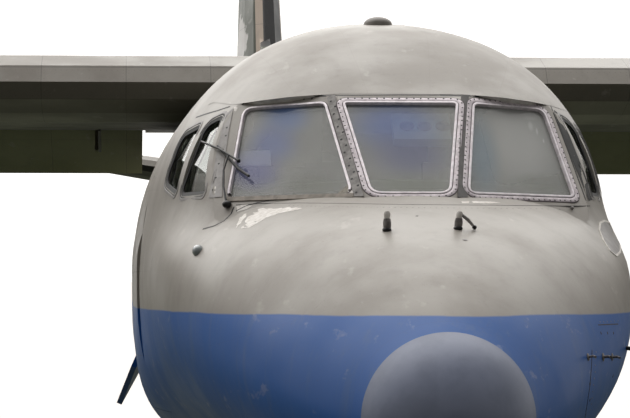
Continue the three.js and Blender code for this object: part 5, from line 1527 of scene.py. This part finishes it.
# Kind, ending of the name, side, body, rims' node and tyres' nodes
wheelSets = [("nose", "", 1, "nose_wheels", "nose_wheel_rims", ["nose_tyre_starboard", "nose_tyre_port"])]
for flank, side in flanks.items():
    wheelSets.append(("main", f"_{flank}", side, f"main_wheels_{flank}", f"main_wheel_rims_{flank}",
                      [f"main_tyre_inner_{flank}", f"main_tyre_outer_{flank}"]))
for kind, ending, flip, body, rimNode, tyreNodes in wheelSets:
    wheel = wheelSizes[kind]
    rims = []
    for side, node in zip((-1, 1), tyreNodes):
        tyre, metalParts = wheelParts(wheel, side)
        if flip < 0:
            for obj in [tyre] + metalParts:
                mirrored(obj)
        tyre.name = f"{node}_tread"
        finish(tyre, "tyre_rubber", body=body, replaces=node, angle=35)
        rims += metalParts
    reach, thick = wheel["spread"] - wheel["width"] * 0.3, wheel["axle"]
    axle = lathe("axle", [(0, -reach), (thick, -reach), (thick, reach), (0, reach)],
                 (flip * wheel["out"], wheel["station"] + noseY, wheel["radius"]), (1, 0, 0), chromeSteel, 40)
    finish(join(f"{kind}_rims{ending}", rims + [axle]), "wheel_paint", body=body, replaces=rimNode, angle=35)
print("wheels ready")


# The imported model's own pieces that stay, with their finishes

def both(name):
    return [f"{name}_{flank}" for flank in flanks]


nodeFinishes = [
    (floorMetal, ["cargo_floor"]),
    (cabinPaint, ["cockpit_bulkhead", "instrument_panel"]),
    (seatCloth, both("pilot_seat")),
    (sideGlass, both("sliding_window") + both("quarter_window")),
    (bodyPaint, ["loading_ramp"] + both("ventral_fin") + both("nose_door")),
    (wingPaint, ["centre_wing"] + both("outer_wing") + both("aileron")),
    (wingPaint, both("tailplane") + both("elevator")),
    (flapPaint, both("inner_flap") + both("outer_flap")),
    (finPaint, ["fin", "rudder"]),
    (engineMetal, both("engine")),
    (legPaint, ["nose_strut", "nose_fork"] + both("main_leg")),
]
for material, names in nodeFinishes:
    flowing = material in (wingPaint, flapPaint, finPaint)
    for name in names:
        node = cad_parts[name]
        paintAll(node, material)
        crease(node, 62 if flowing else 30, weighted=not flowing)


# Floor, light and sky: a plain pale floor under one broad soft light from above
stage = {
    "floor": "#e8e4e0", "reach": 3000.0,
    "behind": "#fbf9f6", "ahead": 0.2, "side": 0.42, "overhead": 3.3,
    "dullGround": (0.022, 0.023, 0.017, 1.0), "litGround": (0.17, 0.175, 0.12, 1.0),
    "brightWay": (-0.16, 0.6, 0.785),
}
floorPaint = newMaterial("pale floor", stage["floor"], 0.9)[0]
floorCorners = [(x * stage["reach"], y * stage["reach"], 0) for x, y in ((-1, -1), (1, -1), (1, 1), (-1, 1))]
floor = addMesh("floor", floorCorners, [(0, 1, 2, 3)], floorPaint)
# The floor takes shadows and throws little light back, as a dull ground under an aircraft does
floor.visible_diffuse = False
floor.visible_glossy = False
world = bpy.data.worlds.new("overcast sky")
scene.world = world
world.use_nodes = True
tree = world.node_tree
direction = addNode(tree, "TexCoord", output="Generated")
way = addNode(tree, "SeparateXYZ", [direction]).node.outputs
towards = addNode(tree, "VectorMath", [direction, stage["brightWay"]], "Value", operation="DOT_PRODUCT")
behind = linear(stage["behind"])
ahead, side, overhead = [[v * stage[key] for v in behind[:3]] + [1.0]
                         for key in ("ahead", "side", "overhead")]
sky = ahead
lit = addNode(tree, "MapRange", [way[1], -0.05, 0.6], interpolation_type="SMOOTHSTEP")
ground = addNode(tree, "Mix", {0: lit, 6: stage["dullGround"], 7: stage["litGround"]}, 2, data_type="RGBA")
# Brighter at both sides, behind and high up, dull ahead and below
lights = [(way[0], 0.1, -0.95, side), (way[0], 0.2, 1.0, side), (way[1], -0.1, 0.75, behind),
          (towards, 0.5, 1.0, overhead), (way[2], -0.004, -0.03, ground)]
for value, low, high, colour in lights:
    share = addNode(tree, "MapRange", [value, low, high], interpolation_type="SMOOTHSTEP")
    sky = addNode(tree, "Mix", {0: share, 6: sky, 7: colour}, 2, data_type="RGBA")
tree.links.new(sky, tree.nodes["Background"].inputs["Color"])
scene.view_settings.view_transform = "Standard"
